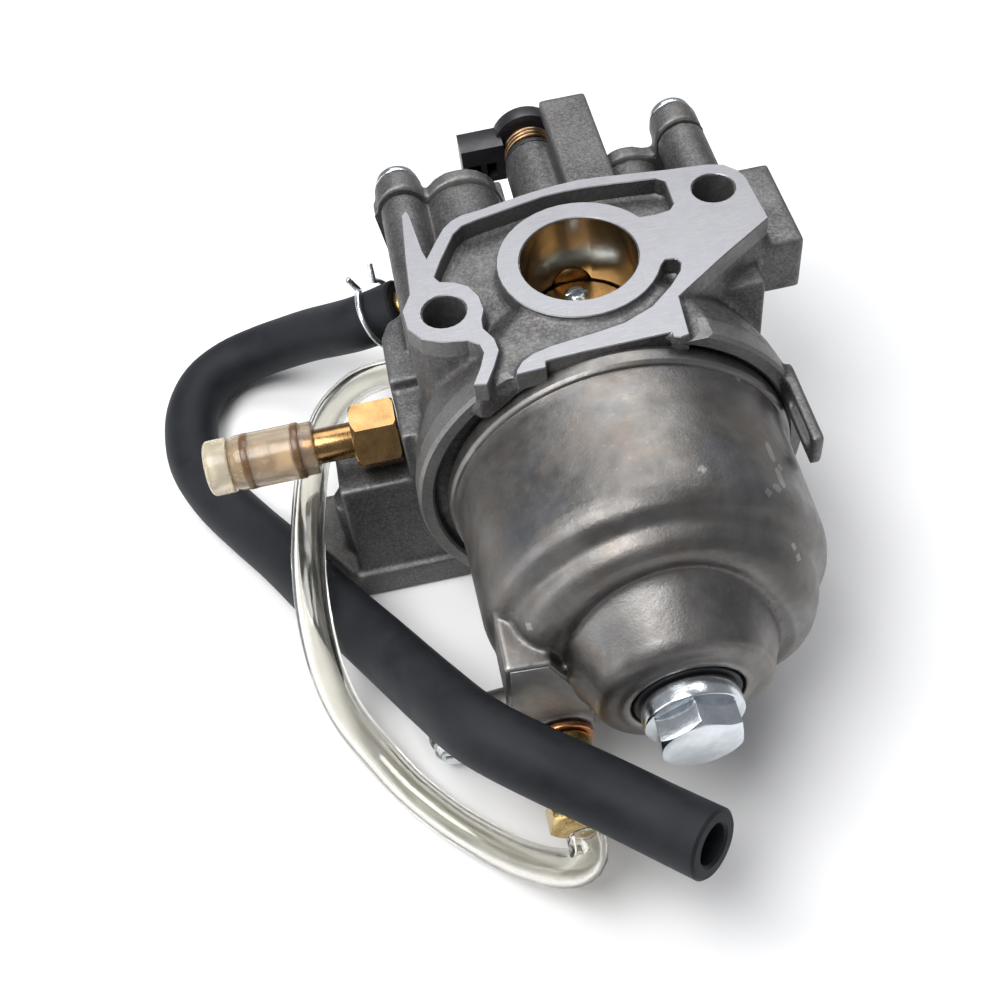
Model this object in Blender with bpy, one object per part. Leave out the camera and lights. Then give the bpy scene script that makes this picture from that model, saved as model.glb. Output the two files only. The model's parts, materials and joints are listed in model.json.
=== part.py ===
"""A small engine's float-bowl carburetor, lying on its air-cleaner flange.

Lengths below are millimetres, measured from the middle of the intake bore on the
engine flange: +X right, +Y away from the float bowl, +Z out of the engine flange.
STAND is added when a mesh is written in metres, so the air-cleaner flange is on the
ground and the origin is under the middle of the part without its hoses.
"""
import math

import bmesh
import bpy
from mathutils import Matrix, Vector

MM = 0.001
LIFT = 50.5            # height of the engine flange above the air-cleaner flange
STAND = (12.85, 8.9, LIFT)   # from the bore's middle to the ground under the part's middle
BORE_R = 8.0           # intake bore at the engine
AIR_R = 11.0           # bore at the air cleaner
THROAT_R = 6.8         # venturi throat
COLLAR_R = 11.1        # machined ring around the intake bore
STUD_LEFT = (-19.1, -4.9)
STUD_RIGHT = (20.8, 8.2)
SCREW_X, SCREW_Z = -29.4, -45.6   # drain screw in the bowl's side bar
STUD_R = 3.0           # clearance for an M6 stud would be 3.2, cast ones run tighter
BOWL_X, BOWL_Z = 0.5, -24.9
BEAD_R = 24.0
GASKET_Y = -16.7       # where the bowl meets the body
SHAFT_Z = -12.0        # throttle shaft depth
CHOKE_Z = -39.5        # choke shaft depth
DRAIN_X, DRAIN_Z = -15.2, -37.5
FITTING_Y, FITTING_Z = -2.5, -24.0
HOSE_OD = 9.0
TUBE_OD = 5.0

MATERIALS = {
    "cast": ((0.19, 0.19, 0.20), 0.50, 0.85),
    "bowl_cast": ((0.15, 0.145, 0.14), 0.42, 0.85),
    "zinc": ((0.62, 0.66, 0.70), 0.22, 1.0),
    "brass": ((0.62, 0.44, 0.17), 0.28, 1.0),
    "gold_zinc": ((0.55, 0.37, 0.15), 0.38, 1.0),
    "copper": ((0.62, 0.28, 0.14), 0.35, 1.0),
    "steel": ((0.40, 0.40, 0.41), 0.35, 1.0),
    "spring": ((0.28, 0.19, 0.12), 0.40, 0.9),
    "rubber": ((0.018, 0.020, 0.024), 0.65, 0.0),
    "black_plastic": ((0.012, 0.012, 0.014), 0.45, 0.0),
    "clear": ((0.80, 0.78, 0.70), 0.12, 0.0),
    "cap": ((0.66, 0.45, 0.28), 0.35, 0.0),
    "gasket": ((0.03, 0.03, 0.03), 0.8, 0.0),
}


# ---------------------------------------------------------------- mesh helpers
def clear_scene():
    for obj in list(bpy.data.objects):
        bpy.data.objects.remove(obj, do_unlink=True)


def material(key):
    found = bpy.data.materials.get(key)
    if found:
        return found
    colour, rough, metal = MATERIALS[key]
    made = bpy.data.materials.new(key)
    made.use_nodes = True
    shader = made.node_tree.nodes["Principled BSDF"]
    shader.inputs["Base Color"].default_value = (*colour, 1.0)
    shader.inputs["Roughness"].default_value = rough
    shader.inputs["Metallic"].default_value = metal
    made.diffuse_color = (*colour, 1.0)
    return made


def from_bmesh(name, bm):
    bmesh.ops.remove_doubles(bm, verts=bm.verts, dist=1e-4)
    bmesh.ops.recalc_face_normals(bm, faces=bm.faces)
    mesh = bpy.data.meshes.new(name)
    bm.to_mesh(mesh)
    bm.free()
    obj = bpy.data.objects.new(name, mesh)
    bpy.context.scene.collection.objects.link(obj)
    return obj


def frame(axis):
    """Columns u, v, w with w along the axis."""
    w = Vector(axis).normalized()
    aside = Vector((0, 0, 1)) if abs(w.z) < 0.9 else Vector((1, 0, 0))
    u = aside.cross(w).normalized()
    return Matrix((u, w.cross(u), w)).transposed()


def prism(outline, axis, low, high, name="prism"):
    """Extrude an outline: (x, y) for axis z, (x, z) for axis y, (y, z) for axis x."""
    place = {
        "x": lambda a, b, h: (h, a, b),
        "y": lambda a, b, h: (a, h, b),
        "z": lambda a, b, h: (a, b, h),
    }[axis]
    bm = bmesh.new()
    bottom = [bm.verts.new(place(a, b, low)) for a, b in outline]
    top = [bm.verts.new(place(a, b, high)) for a, b in outline]
    bm.faces.new(bottom)
    bm.faces.new(top[::-1])
    count = len(outline)
    for i in range(count):
        j = (i + 1) % count
        bm.faces.new((bottom[i], bottom[j], top[j], top[i]))
    return from_bmesh(name, bm)


def block(x0, x1, y0, y1, z0, z1):
    return prism([(x0, y0), (x1, y0), (x1, y1), (x0, y1)], "z", z0, z1)


def lathe(profile, centre, axis, segments=40, name="lathe"):
    """Turn (radius, height) points round an axis through centre; closed either way."""
    turn = frame(axis)
    origin = Vector(centre)
    bm = bmesh.new()
    rings = []
    for radius, height in profile:
        count = 1 if radius < 1e-6 else segments
        ring = []
        for k in range(count):
            angle = 2 * math.pi * k / segments
            local = Vector((radius * math.cos(angle), radius * math.sin(angle), height))
            ring.append(bm.verts.new(origin + turn @ local))
        rings.append(ring)
    open_ended = len(rings[0]) == 1 and len(rings[-1]) == 1
    pairs = list(zip(rings, rings[1:]))
    if not open_ended:
        pairs.append((rings[-1], rings[0]))
    for a, b in pairs:
        for k in range(segments):
            n = (k + 1) % segments
            if len(a) == 1 and len(b) == 1:
                break
            if len(a) == 1:
                bm.faces.new((a[0], b[k], b[n]))
            elif len(b) == 1:
                bm.faces.new((a[k], b[0], a[n]))
            else:
                bm.faces.new((a[k], b[k], b[n], a[n]))
    return from_bmesh(name, bm)


def rod(radius, start, end, segments=24, chamfer=0.0, tip=None):
    """A round bar from start to end, with the far edge chamfered or drawn to tip."""
    a, b = Vector(start), Vector(end)
    length = (b - a).length
    far = radius - chamfer if tip is None else tip
    profile = [(0, 0), (radius, 0)]
    if chamfer or tip is not None:
        step = chamfer if tip is None else length
        if length - step > 1e-6:
            profile.append((radius, length - step))
    else:
        profile.append((radius, length))
    if (chamfer or tip is not None) and far > 1e-6:
        profile.append((far, length))
    profile.append((0, length))
    return lathe(profile, a, b - a, segments)


def ring(outer, inner, start, end, segments=24):
    a, b = Vector(start), Vector(end)
    length = (b - a).length
    return lathe([(inner, 0), (outer, 0), (outer, length), (inner, length)], a, b - a, segments)


def hexagon(flats, start, end, turn=0.0):
    """A hexagonal bar with its end edges broken."""
    a, b = Vector(start), Vector(end)
    axes = frame(b - a)
    length = (b - a).length
    radius = flats / math.sqrt(3)
    bm = bmesh.new()
    loops = []
    for shrink, height in ((0.90, 0.0), (1.0, 0.10), (1.0, 0.90), (0.90, 1.0)):
        loop = []
        for k in range(6):
            angle = math.radians(60 * k + turn)
            r = radius * shrink
            local = Vector((r * math.cos(angle), r * math.sin(angle), length * height))
            loop.append(bm.verts.new(a + axes @ local))
        loops.append(loop)
    bm.faces.new(loops[0])
    bm.faces.new(loops[-1])
    for lower, upper in zip(loops, loops[1:]):
        for k in range(6):
            n = (k + 1) % 6
            bm.faces.new((lower[k], lower[n], upper[n], upper[k]))
    return from_bmesh("hexagon", bm)


def sweep(points, radius, sides=6):
    """A round wire through the points, capped at both ends."""
    path = [Vector(p) for p in points]
    bm = bmesh.new()
    loops = []
    across = None
    for i, point in enumerate(path):
        ahead = path[min(i + 1, len(path) - 1)] - path[max(i - 1, 0)]
        ahead.normalize()
        if across is None:
            across = frame(ahead).col[0]
        across = (across - ahead * across.dot(ahead)).normalized()
        other = ahead.cross(across)
        loop = []
        for k in range(sides):
            angle = 2 * math.pi * k / sides
            offset = across * math.cos(angle) + other * math.sin(angle)
            loop.append(bm.verts.new(point + offset * radius))
        loops.append(loop)
    bm.faces.new(loops[0])
    bm.faces.new(loops[-1])
    for a, b in zip(loops, loops[1:]):
        for k in range(sides):
            n = (k + 1) % sides
            bm.faces.new((a[k], a[n], b[n], b[k]))
    return from_bmesh("sweep", bm)


def coil_points(centre, axis, radius, turns, low, high, steps=14, start=0.0):
    axes = frame(axis)
    origin = Vector(centre)
    total = int(turns * steps)
    points = []
    for k in range(total + 1):
        angle = start + 2 * math.pi * k / steps
        height = low + (high - low) * k / total
        local = Vector((radius * math.cos(angle), radius * math.sin(angle), height))
        points.append(origin + axes @ local)
    return points


def combine(target, tools, operation):
    """Join or cut with all the tools in one exact Boolean, then throw them away."""
    group = bpy.data.collections.new("tools")
    for tool in tools:
        group.objects.link(tool)
    step = target.modifiers.new("join", "BOOLEAN")
    step.operation = operation
    step.solver = "EXACT"
    step.operand_type = "COLLECTION"
    step.collection = group
    graph = bpy.context.evaluated_depsgraph_get()
    mesh = bpy.data.meshes.new_from_object(target.evaluated_get(graph))
    target.modifiers.clear()
    target.data = mesh
    for tool in tools:
        bpy.data.objects.remove(tool, do_unlink=True)
    bpy.data.collections.remove(group)
    return target


def unite(target, *tools):
    return combine(target, tools, "UNION")


def cut(target, *tools):
    return combine(target, tools, "DIFFERENCE")


def finish(obj, name, finish_key, smooth=True, origin=None):
    """Name the piece, give it its finish, and move it to metres on the ground."""
    obj.name = name
    obj.data.name = name
    bm = bmesh.new()
    bm.from_mesh(obj.data)
    bmesh.ops.dissolve_degenerate(bm, dist=2e-3, edges=bm.edges)
    bmesh.ops.triangulate(bm, faces=[f for f in bm.faces if len(f.verts) > 4])
    pivot = Vector(origin) if origin else Vector((0, 0, 0))
    for vert in bm.verts:
        vert.co = (vert.co - pivot) * MM
    bm.to_mesh(obj.data)
    bm.free()
    obj.location = (pivot + Vector(STAND)) * MM
    obj.data.materials.clear()
    obj.data.materials.append(material(finish_key))
    if smooth:
        obj.data.shade_smooth()
        obj.data.set_sharp_from_angle(angle=math.radians(35))
    return obj


def arc(centre, radius, first, last, count):
    """Points on a circle from one angle to another, in degrees."""
    points = []
    for k in range(count + 1):
        angle = math.radians(first + (last - first) * k / count)
        points.append((centre[0] + radius * math.cos(angle), centre[1] + radius * math.sin(angle)))
    return points


# ---------------------------------------------------------------- the casting
LAND_LEFT = [
    (-17.6, -18.6), (-16.2, -15.8), (-15.4, -13.6), (-15.7, -12.0), (-17.0, -10.9),
    (-20.3, -10.3), (-22.8, -9.0), (-24.3, -6.7), (-24.5, -3.4), (-23.1, -0.5),
    (-22.7, 6.6), (-22.3, 11.7), (-22.0, 15.4), (-21.2, 16.3), (-20.8, 15.0),
    (-20.4, 10.6), (-20.1, 7.2), (-19.8, 5.8), (-18.3, 8.5), (-16.7, 11.1),
    (-15.4, 12.3), (-13.9, 13.0),
]
LAND_TOP = [
    (-11.0, 13.4), (-7.8, 14.1), (-4.0, 14.8), (-0.2, 15.3), (3.4, 15.5), (7.1, 15.1),
    (15.6, 13.9), (21.3, 13.3), (23.5, 12.6), (25.0, 10.9), (25.7, 9.0), (26.1, 0.2),
]
LAND_RIGHT = [
    (18.6, -5.0), (10.8, -10.8), (10.3, -17.6), (9.1, -17.8), (8.2, -17.4),
    (8.2, -16.7), (3.3, -16.8), (-2.8, -16.9), (-7.2, -17.1), (-8.0, -17.2), (-8.2, -18.2),
    (-12.1, -18.4),
]
LAND_INNER_BAR = [
    (-11.9, -17.6), (-10.9, -16.3), (-9.4, -15.4), (-6.9, -14.7), (-4.3, -14.4),
    (-0.4, -13.9), (3.0, -13.3), (7.0, -11.5), (10.2, -8.6), (12.1, -6.3), (12.6, -4.9),
    (12.2, -3.9), (10.9, -3.7),
]
LAND_INNER_RIM = [
    (11.9, 5.3), (13.9, 5.6), (14.7, 6.6), (14.8, 11.4), (13.7, 12.4), (8.1, 13.1),
    (3.8, 13.5), (0.9, 13.6), (-2.1, 13.4), (-6.6, 12.5), (-11.7, 11.4), (-14.1, 10.7),
    (-15.5, 9.4), (-18.0, 4.7), (-19.3, 1.8), (-18.8, 0.8), (-16.8, 0.1), (-15.1, -1.2),
    (-14.1, -3.4), (-13.9, -6.0), (-14.5, -7.8), (-14.6, -9.3), (-13.5, -11.5),
    (-13.3, -13.7), (-14.4, -16.3), (-15.8, -19.0),
]


def flange_land():
    """The milled face: rim, stud eyes, collar and the two feet by the bowl."""
    collar = arc((0, 0), COLLAR_R, -24, -331, 34)
    outline = LAND_LEFT + LAND_TOP + LAND_RIGHT + LAND_INNER_BAR + collar + LAND_INNER_RIM
    return prism(outline, "z", -3.4, 0.0)


def flange_floor():
    """The cast web behind the milled face, the bottom of the crescent pocket."""
    outline = LAND_LEFT + LAND_TOP + LAND_RIGHT + [(-15.7, -18.7)]
    return prism(outline, "z", -7.0, -3.0)


def chamber_dome():
    """The roof of the float chamber with the skirt round the bowl's rim."""
    profile = [
        (0, 6.0), (11.0, 6.0), (15.0, 4.9), (19.0, 2.2), (22.4, -1.8), (25.2, -6.0),
        (26.9, -10.5), (27.5, -14.0), (27.5, -17.4), (27.0, -17.9), (25.5, -17.9),
        (25.2, -17.4), (25.2, -16.1), (20.6, -16.1), (20.6, -12.5), (0, -12.5),
    ]
    dome = lathe([(r, -y) for r, y in profile], (-0.3, 0, BOWL_Z), (0, -1, 0), 48)
    return cut(dome, block(-40, 40, -40, 40, -1.0, 20), block(-40, 40, -40, 40, -90, -LIFT + 0.05))


def upper_works():
    """Screw posts, vent chambers, throttle shaft boss and the bracket pillar."""
    pieces = [
        rod(3.5, (-21.6, 0.5, -11.6), (-21.6, 30.4, -11.6), 22),
        block(-24.9, -8.0, 6.0, 30.4, -20.8, -12.0),
        block(-20.4, -8.0, 6.0, 30.4, -34.0, -20.0),
        rod(6.4, (-12.4, 4.0, -14.8), (-12.4, 30.4, -14.8), 28),
        block(-22.0, -9.0, 6.3, 30.1, -41.0, -33.5),
        block(8.0, 25.0, 9.0, 30.4, -30.0, -14.0),
        rod(5.2, (14.2, 8.0, -15.6), (14.2, 30.4, -15.6), 24),
        rod(3.8, (22.4, 5.0, -9.2), (22.4, 30.4, -9.2), 22),
        block(-9.5, 9.0, 6.0, 26.0, -28.0, -18.5),
        rod(4.6, (0, 6.0, SHAFT_Z), (0, 35.8, SHAFT_Z), 24),
        block(2.4, 8.7, 6.0, 34.0, -15.5, -6.5),
        block(2.4, 9.9, 12.0, 41.0, -7.1, -4.2),
    ]
    return pieces


def side_works():
    """Blocks and bosses on the flanks, and the flange for the air cleaner."""
    rear = [
        (-45.0, -5.0), (-40.0, -12.4), (-22.0, -12.4), (-14.0, -15.0), (0.0, -15.8), (12.0, -14.0),
        (22.0, 0.8), (27.3, 6.0), (27.3, 11.0), (23.0, 15.0), (10.0, 15.4), (0.0, 15.8),
        (-10.0, 13.5), (-20.0, 5.4), (-28.0, 5.2), (-47.6, 5.4), (-48.6, 4.4),
        (-48.6, 0.6),
    ]
    return [
        prism(rear, "z", -LIFT, -45.0),
        prism([(-7.9, -29.2), (0.9, -29.2), (0.9, -49.0), (-12.0, -49.0)], "x", -39.3, -21.0),
        rod(2.7, (-38.2, -5.5, -45.4), (-38.2, -5.5, -33.0), 20),
        prism(
            [(-28.7, 0.5), (-20.5, 0.5), (-20.5, 14.3), (-24.6, 14.3), (-27.4, 12.8), (-28.7, 9.8)],
            "z", -31.0, -17.0,
        ),
        block(-28.5, -20.0, -8.5, 1.5, -33.0, -18.8),
        block(17.0, 31.3, -0.8, 16.0, -13.4, -4.2),
        block(15.0, 24.5, -5.5, 9.0, -20.0, -6.0),
        rod(5.5, (*STUD_LEFT, -LIFT + 0.2), (*STUD_LEFT, -5.0), 24),
        rod(5.5, (*STUD_RIGHT, -LIFT + 0.2), (*STUD_RIGHT, -5.0), 24),
        rod(13.55, (0, 0, -LIFT + 0.1), (0, 0, -5.1), 36),
        rod(4.2, (0, 8.0, CHOKE_Z), (0, 17.8, CHOKE_Z), 22),
        rod(3.7, (19.6, 7.0, -37.5), (19.6, 17.0, -37.5), 24),
    ]


def bowl_hook():
    """The small loop beside the bowl that keeps it from turning."""
    hook = block(23.5, 25.2, -29.2, -15.5, -16.8, -11.6)
    slot = block(20.0, 30.0, -27.6, -19.2, -15.4, -13.0)
    return cut(hook, slot)


def inside_works():
    """Towers hanging into the float chamber."""
    return [
        rod(5.0, (BOWL_X, -8.0, BOWL_Z), (BOWL_X, -46.5, BOWL_Z), 32),
        rod(4.4, (0, -10.0, SHAFT_Z), (0, -15.2, SHAFT_Z), 24),
        rod(3.6, (0, -10.0, CHOKE_Z), (0, -15.4, CHOKE_Z), 24),
        block(14.8, 19.0, -18.2, -11.8, -31.6, -29.3),
        block(14.8, 19.0, -18.2, -11.8, -20.5, -18.2),
    ]


def bowl_clearance():
    return rod(24.35, (BOWL_X, -16.3, BOWL_Z), (BOWL_X, -30.0, BOWL_Z), 48)


def drillings():
    """Everything drilled or milled into the casting after it is joined."""
    bore = [
        (0, 2.0), (BORE_R, 2.0), (BORE_R, -18.5), (THROAT_R, -23.0), (THROAT_R, -27.5),
        (AIR_R, -35.0), (AIR_R, -LIFT - 2), (0, -LIFT - 2),
    ]
    tower = [
        (0, -2.0), (2.5, -2.0), (2.5, -37.4), (3.25, -37.4), (3.25, -48.0), (0, -48.0),
    ]
    down = [(r, -y) for r, y in tower]
    return [
        lathe(bore, (0, 0, 0), (0, 0, 1), 40),
        rod(STUD_R, (*STUD_LEFT, -LIFT - 2), (*STUD_LEFT, 2.0), 22),
        rod(STUD_R, (*STUD_RIGHT, -LIFT - 2), (*STUD_RIGHT, 2.0), 22),
        rod(3.0, (0, -13.9, SHAFT_Z), (0, 40.0, SHAFT_Z), 22),
        rod(2.3, (0, -14.3, CHOKE_Z), (0, 22.0, CHOKE_Z), 24),
        lathe(down, (BOWL_X, 0, BOWL_Z), (0, -1, 0), 22),
        rod(1.15, (16.9, -16.2, -33.0), (16.9, -16.2, -17.0), 16),
        rod(3.3, (11.9, -18.0, BOWL_Z), (11.9, -8.8, BOWL_Z), 24),
        rod(2.2, (27.0, 9.0, -8.8), (27.0, 18.0, -8.8), 20),
        rod(1.8, (19.6, 12.1, -37.5), (19.6, 20.0, -37.5), 20),
        rod(1.9, (-21.6, 18.0, -11.6), (-21.6, 32.0, -11.6), 20),
        rod(1.9, (22.4, 18.0, -9.2), (22.4, 32.0, -9.2), 20),
        rod(1.9, (-12.0, 18.0, -30.0), (-12.0, 32.0, -30.0), 20),
        rod(3.2, (-31.0, FITTING_Y, FITTING_Z), (-23.5, FITTING_Y, FITTING_Z), 20),
        rod(2.2, (-29.2, 27.0, -29.2), (-15.6, 23.4, -22.1), 20),
        rod(1.9, (-26.0, 21.9, -37.4), (-18.0, 21.9, -37.4), 20),
    ]


def main_body():
    body = rod(13.0, (0, 0, -40.0), (0, 0, -4.0), 40)
    unite(body, chamber_dome(), *side_works(), *upper_works(), bowl_hook())
    unite(body, flange_floor(), flange_land())
    cut(body, bowl_clearance())
    unite(body, *inside_works())
    cut(body, *drillings())
    return finish(body, "main_body", "cast")


# ---------------------------------------------------------------- bowl and cover
def bowl_shell():
    """Straight wall, rolled shoulder and a stepped floor with a drum in the middle."""
    outside = [
        (0, -44.8), (15.4, -44.8), (17.0, -45.0), (18.5, -44.5), (19.4, -43.9), (19.9, -43.1),
        (20.2, -42.0), (20.7, -41.3), (21.6, -40.8), (22.4, -39.8), (22.9, -38.0), (23.3, -21.0),
        (23.4, -19.7), (23.9, -19.0), (BEAD_R, -18.4), (BEAD_R, GASKET_Y), (0, GASKET_Y),
    ]
    drum = [
        (0, -54.2), (8.3, -54.2), (8.9, -53.7), (10.4, -53.4), (11.3, -52.9), (11.9, -51.9),
        (14.4, -46.4), (14.9, -45.6), (15.4, -44.9), (15.4, -43.4), (0, -43.4),
    ]
    shell = lathe([(r, -y) for r, y in reversed(outside)], (BOWL_X, 0, BOWL_Z), (0, -1, 0), 44)
    slope_floor(shell)
    return shell, lathe([(r, -y) for r, y in reversed(drum)], (BOWL_X, 0, BOWL_Z), (0, -1, 0), 44)


def slope_floor(obj):
    """The floor falls away inward, most of all on the right."""
    for vert in obj.data.vertices:
        across = vert.co.x - BOWL_X
        radius = max(math.hypot(across, vert.co.z - BOWL_Z), 0.01)
        inward = min(max(21.5 - radius, 0.0), 6.5)
        deep = min(max((-vert.co.y - 38.0) / 2.0, 0.0), 1.0)
        share = (0.7 if across > 0 else 0.35) * (across / radius) ** 2
        vert.co.y -= share * inward * deep


def bowl_hollow():
    inside = [
        (0, -15.0), (21.4, -15.0), (21.2, -37.3), (20.6, -38.6), (19.2, -39.6), (18.4, -40.6),
        (18.1, -42.2), (14.4, -43.1), (0, -43.1),
    ]
    drum = [
        (0, -40.0), (13.4, -40.0), (12.9, -44.6), (10.3, -50.3), (7.7, -50.3), (7.0, -49.2),
        (7.0, -46.9), (0, -46.9),
    ]
    hollow = lathe([(r, -y) for r, y in inside], (BOWL_X, 0, BOWL_Z), (0, -1, 0), 32)
    slope_floor(hollow)
    return hollow, lathe([(r, -y) for r, y in drum], (BOWL_X, 0, BOWL_Z), (0, -1, 0), 32)


def float_bowl():
    bowl, drum = bowl_shell()
    facet = [
        (-21.0, -18.7), (-15.3, -19.3), (-10.4, -30.3), (-10.6, -39.5), (-15.2, -42.4),
        (-19.8, -40.5), (-21.6, -30.0),
    ]
    unite(
        bowl,
        drum,
        prism(facet, "y", -48.5, -38.0),
        rod(4.7, (DRAIN_X, -38.0, DRAIN_Z), (DRAIN_X, -50.0, DRAIN_Z), 24),
        rod(3.0, (-12.0, -41.4, -40.5), (-30.0, -39.5, -46.0), 24, 0.8),
        rod(3.9, (SCREW_X, -36.0, SCREW_Z), (SCREW_X, -42.6, SCREW_Z), 24),
    )
    groove = lathe([(22.1, 15.0), (23.7, 15.0), (23.7, 18.1), (22.1, 18.1)], (BOWL_X, 0, BOWL_Z),
                   (0, -1, 0), 40)
    cut(
        bowl,
        *bowl_hollow(),
        groove,
        rod(3.3, (BOWL_X, -40.0, BOWL_Z), (BOWL_X, -60.0, BOWL_Z), 22),
        rod(7.3, (BOWL_X, -53.0, BOWL_Z), (BOWL_X, -60.0, BOWL_Z), 32),
        rod(2.3, (DRAIN_X, -42.5, DRAIN_Z), (DRAIN_X, -52.0, DRAIN_Z), 20),
        rod(5.0, (DRAIN_X, -49.0, DRAIN_Z), (DRAIN_X, -60.0, DRAIN_Z), 28),
        rod(2.0, (SCREW_X, -37.6, SCREW_Z), (SCREW_X, -48.0, SCREW_Z), 20),
    )
    return finish(bowl, "float_bowl", "bowl_cast")


COVER_TOP = 33.8
COVER_OUTLINE = (
    [(-26.0, -12.0), (-25.0, -20.0), (-24.0, -33.5), (24.0, -33.5), (25.0, -16.0)]
    + arc((22.4, -9.2), 3.8, -20, 165, 9)
    + [(18.6, -11.6)]
    + arc((14.2, -15.6), 5.1, 60, 170, 6)
    + [(8.5, -17.2), (-4.9, -17.2)]
    + arc((-12.4, -14.8), 6.4, 10, 140, 8)
    + [(-17.9, -11.0)]
    + arc((-21.6, -11.6), 3.8, 25, 175, 8)
)


def top_gasket():
    gasket = prism(COVER_OUTLINE, "y", 30.6, 31.0)
    holes = [
        rod(1.9, (x, 28.0, z), (x, 36.0, z), 20)
        for x, z in ((-21.6, -11.6), (22.4, -9.2), (-12.0, -30.0))
    ]
    return finish(cut(gasket, *holes), "top_cover_gasket", "gasket", smooth=False)


def top_cover():
    cover = prism(COVER_OUTLINE, "y", 31.2, COVER_TOP)
    unite(
        cover,
        rod(3.8, (-21.6, 32.0, -11.6), (-21.6, 35.6, -11.6), 22),
        rod(3.8, (22.4, 32.0, -9.2), (22.4, 35.6, -9.2), 22),
        rod(5.2, (-12.4, 33.0, -14.8), (-12.4, 35.6, -14.8), 32, 1.6),
        rod(4.4, (14.2, 33.0, -15.6), (14.2, 35.2, -15.6), 32, 1.2),
        block(-11.4, -4.6, 33.0, 44.0, -24.4, -20.6),
    )
    cut(
        cover,
        rod(1.9, (-21.6, 28.0, -11.6), (-21.6, 38.0, -11.6), 20),
        rod(1.9, (22.4, 28.0, -9.2), (22.4, 38.0, -9.2), 20),
        rod(1.9, (-12.0, 28.0, -30.0), (-12.0, 38.0, -30.0), 20),
        rod(1.7, (-8.0, 41.0, -28.0), (-8.0, 41.0, -18.0), 20),
    )
    return finish(cover, "top_cover", "cast")


# ---------------------------------------------------------------- screws and fittings
def slotted_screw(name, centre, head_y, shank_y, head_r=3.5, cross=True):
    """A pan-head screw driven down along -Y, its head from head_y up."""
    x, z = centre
    profile = [
        (0, shank_y), (1.6, shank_y), (1.6, head_y), (head_r, head_y), (head_r, head_y + 0.9),
        (head_r * 0.86, head_y + 1.7), (head_r * 0.5, head_y + 2.3), (0, head_y + 2.4),
    ]
    screw = lathe(profile, (x, 0, z), (0, 1, 0), 18)
    tools = [block(x - 0.45, x + 0.45, head_y + 1.2, head_y + 4, z - 1.9, z + 1.9)]
    if cross:
        tools.append(block(x - 1.9, x + 1.9, head_y + 1.25, head_y + 4, z - 0.45, z + 0.45))
    cut(screw, *tools)
    return finish(screw, name, "zinc")


def cover_screws():
    slotted_screw("cover_screw_left", (-21.6, -11.6), 35.9, 19.0)
    slotted_screw("cover_screw_right", (22.4, -9.2), 35.9, 19.0)
    slotted_screw("cover_screw_rear", (-12.0, -30.0), 34.1, 19.0)


def bowl_bolt():
    x, z = BOWL_X, BOWL_Z
    profile = [
        (0, 39.6), (2.4, 39.6), (2.9, 40.2), (2.9, 54.4), (6.2, 54.4), (6.4, 54.7),
        (6.4, 56.6), (6.1, 57.2), (0, 57.2),
    ]
    bolt = lathe(profile, (x, 0, z), (0, -1, 0), 36)
    head = hexagon(10.0, (x, -56.6, z), (x, -60.6, z), 33.0)
    return finish(unite(bolt, head), "bowl_bolt", "zinc")


def drain_parts():
    x, z = DRAIN_X, DRAIN_Z
    finish(
        ring(4.2, 2.6, (x, -49.3, z), (x, -50.1, z), 22), "drain_washer", "copper",
    )
    profile = [
        (0, 43.6), (1.9, 43.6), (1.9, 50.4), (3.6, 50.4), (3.6, 58.9), (0, 58.9),
    ]
    stem = lathe(profile, (x, 0, z), (0, -1, 0), 28)
    fitting = unite(stem, hexagon(8.0, (x, -58.5, z), (x, -62.0, z), 20.0))
    cut(fitting, rod(1.0, (x, -70.0, z), (x, -56.0, z), 14))
    finish(fitting, "drain_nipple", "brass")
    x, z = SCREW_X, SCREW_Z
    screw = lathe(
        [(0, 38.0), (1.7, 38.0), (1.7, 42.9), (3.4, 42.9), (3.4, 44.1), (2.8, 44.8), (0, 45.0)],
        (x, 0, z), (0, -1, 0), 22,
    )
    cut(
        screw,
        block(x - 0.45, x + 0.45, -49.0, -44.0, z - 2.0, z + 2.0),
        block(x - 2.0, x + 2.0, -49.0, -44.05, z - 0.45, z + 0.45),
    )
    finish(screw, "drain_screw", "zinc", origin=(x, -45.0, z))


def side_fitting():
    """The plated union on the left and the capped pipe that leaves it."""
    y, z = FITTING_Y, FITTING_Z
    body = rod(2.9, (-24.2, y, z), (-29.2, y, z), 24)
    unite(
        body,
        hexagon(9.0, (-28.8, y, z), (-35.4, y, z), 0.0),
        rod(2.6, (-35.0, y, z), (-44.6, y, z), 24, 0.4),
    )
    cut(body, rod(1.5, (-20.0, y, z), (-50.0, y, z), 16))
    finish(body, "side_union", "gold_zinc")
    cap = lathe(
        [(2.9, 41.0), (3.9, 41.0), (4.1, 44.0), (4.1, 52.4), (3.6, 53.4), (2.9, 53.4)],
        (0, y, z), (-1, 0, 0), 28,
    )
    finish(cap, "union_cap", "cap")
    plug = lathe(
        [(0, 47.5), (2.6, 47.5), (2.6, 53.7), (3.7, 53.7), (3.7, 56.4), (3.2, 57.0), (0, 57.0)],
        (0, y, z), (-1, 0, 0), 24,
    )
    finish(plug, "union_plug", "clear")


def hose_nipples():
    leave = (Vector(FUEL_ROUTE[1]) - Vector(FUEL_ROUTE[0])).normalized()
    fuel = lathe(
        [(1.2, -8.0), (1.9, -8.0), (1.9, -1.3), (2.9, -1.3), (2.9, -0.3), (1.2, -0.3)],
        FUEL_ROUTE[0], leave, 20,
    )
    finish(fuel, "fuel_inlet_nipple", "brass")
    vent = lathe(
        [(0.9, 18.3), (1.6, 18.3), (1.6, 25.0), (2.2, 25.2), (2.2, 26.4), (0.9, 26.4)],
        (0, 21.9, -37.4), (-1, 0, 0), 20,
    )
    finish(vent, "vent_nipple", "brass")


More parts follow.
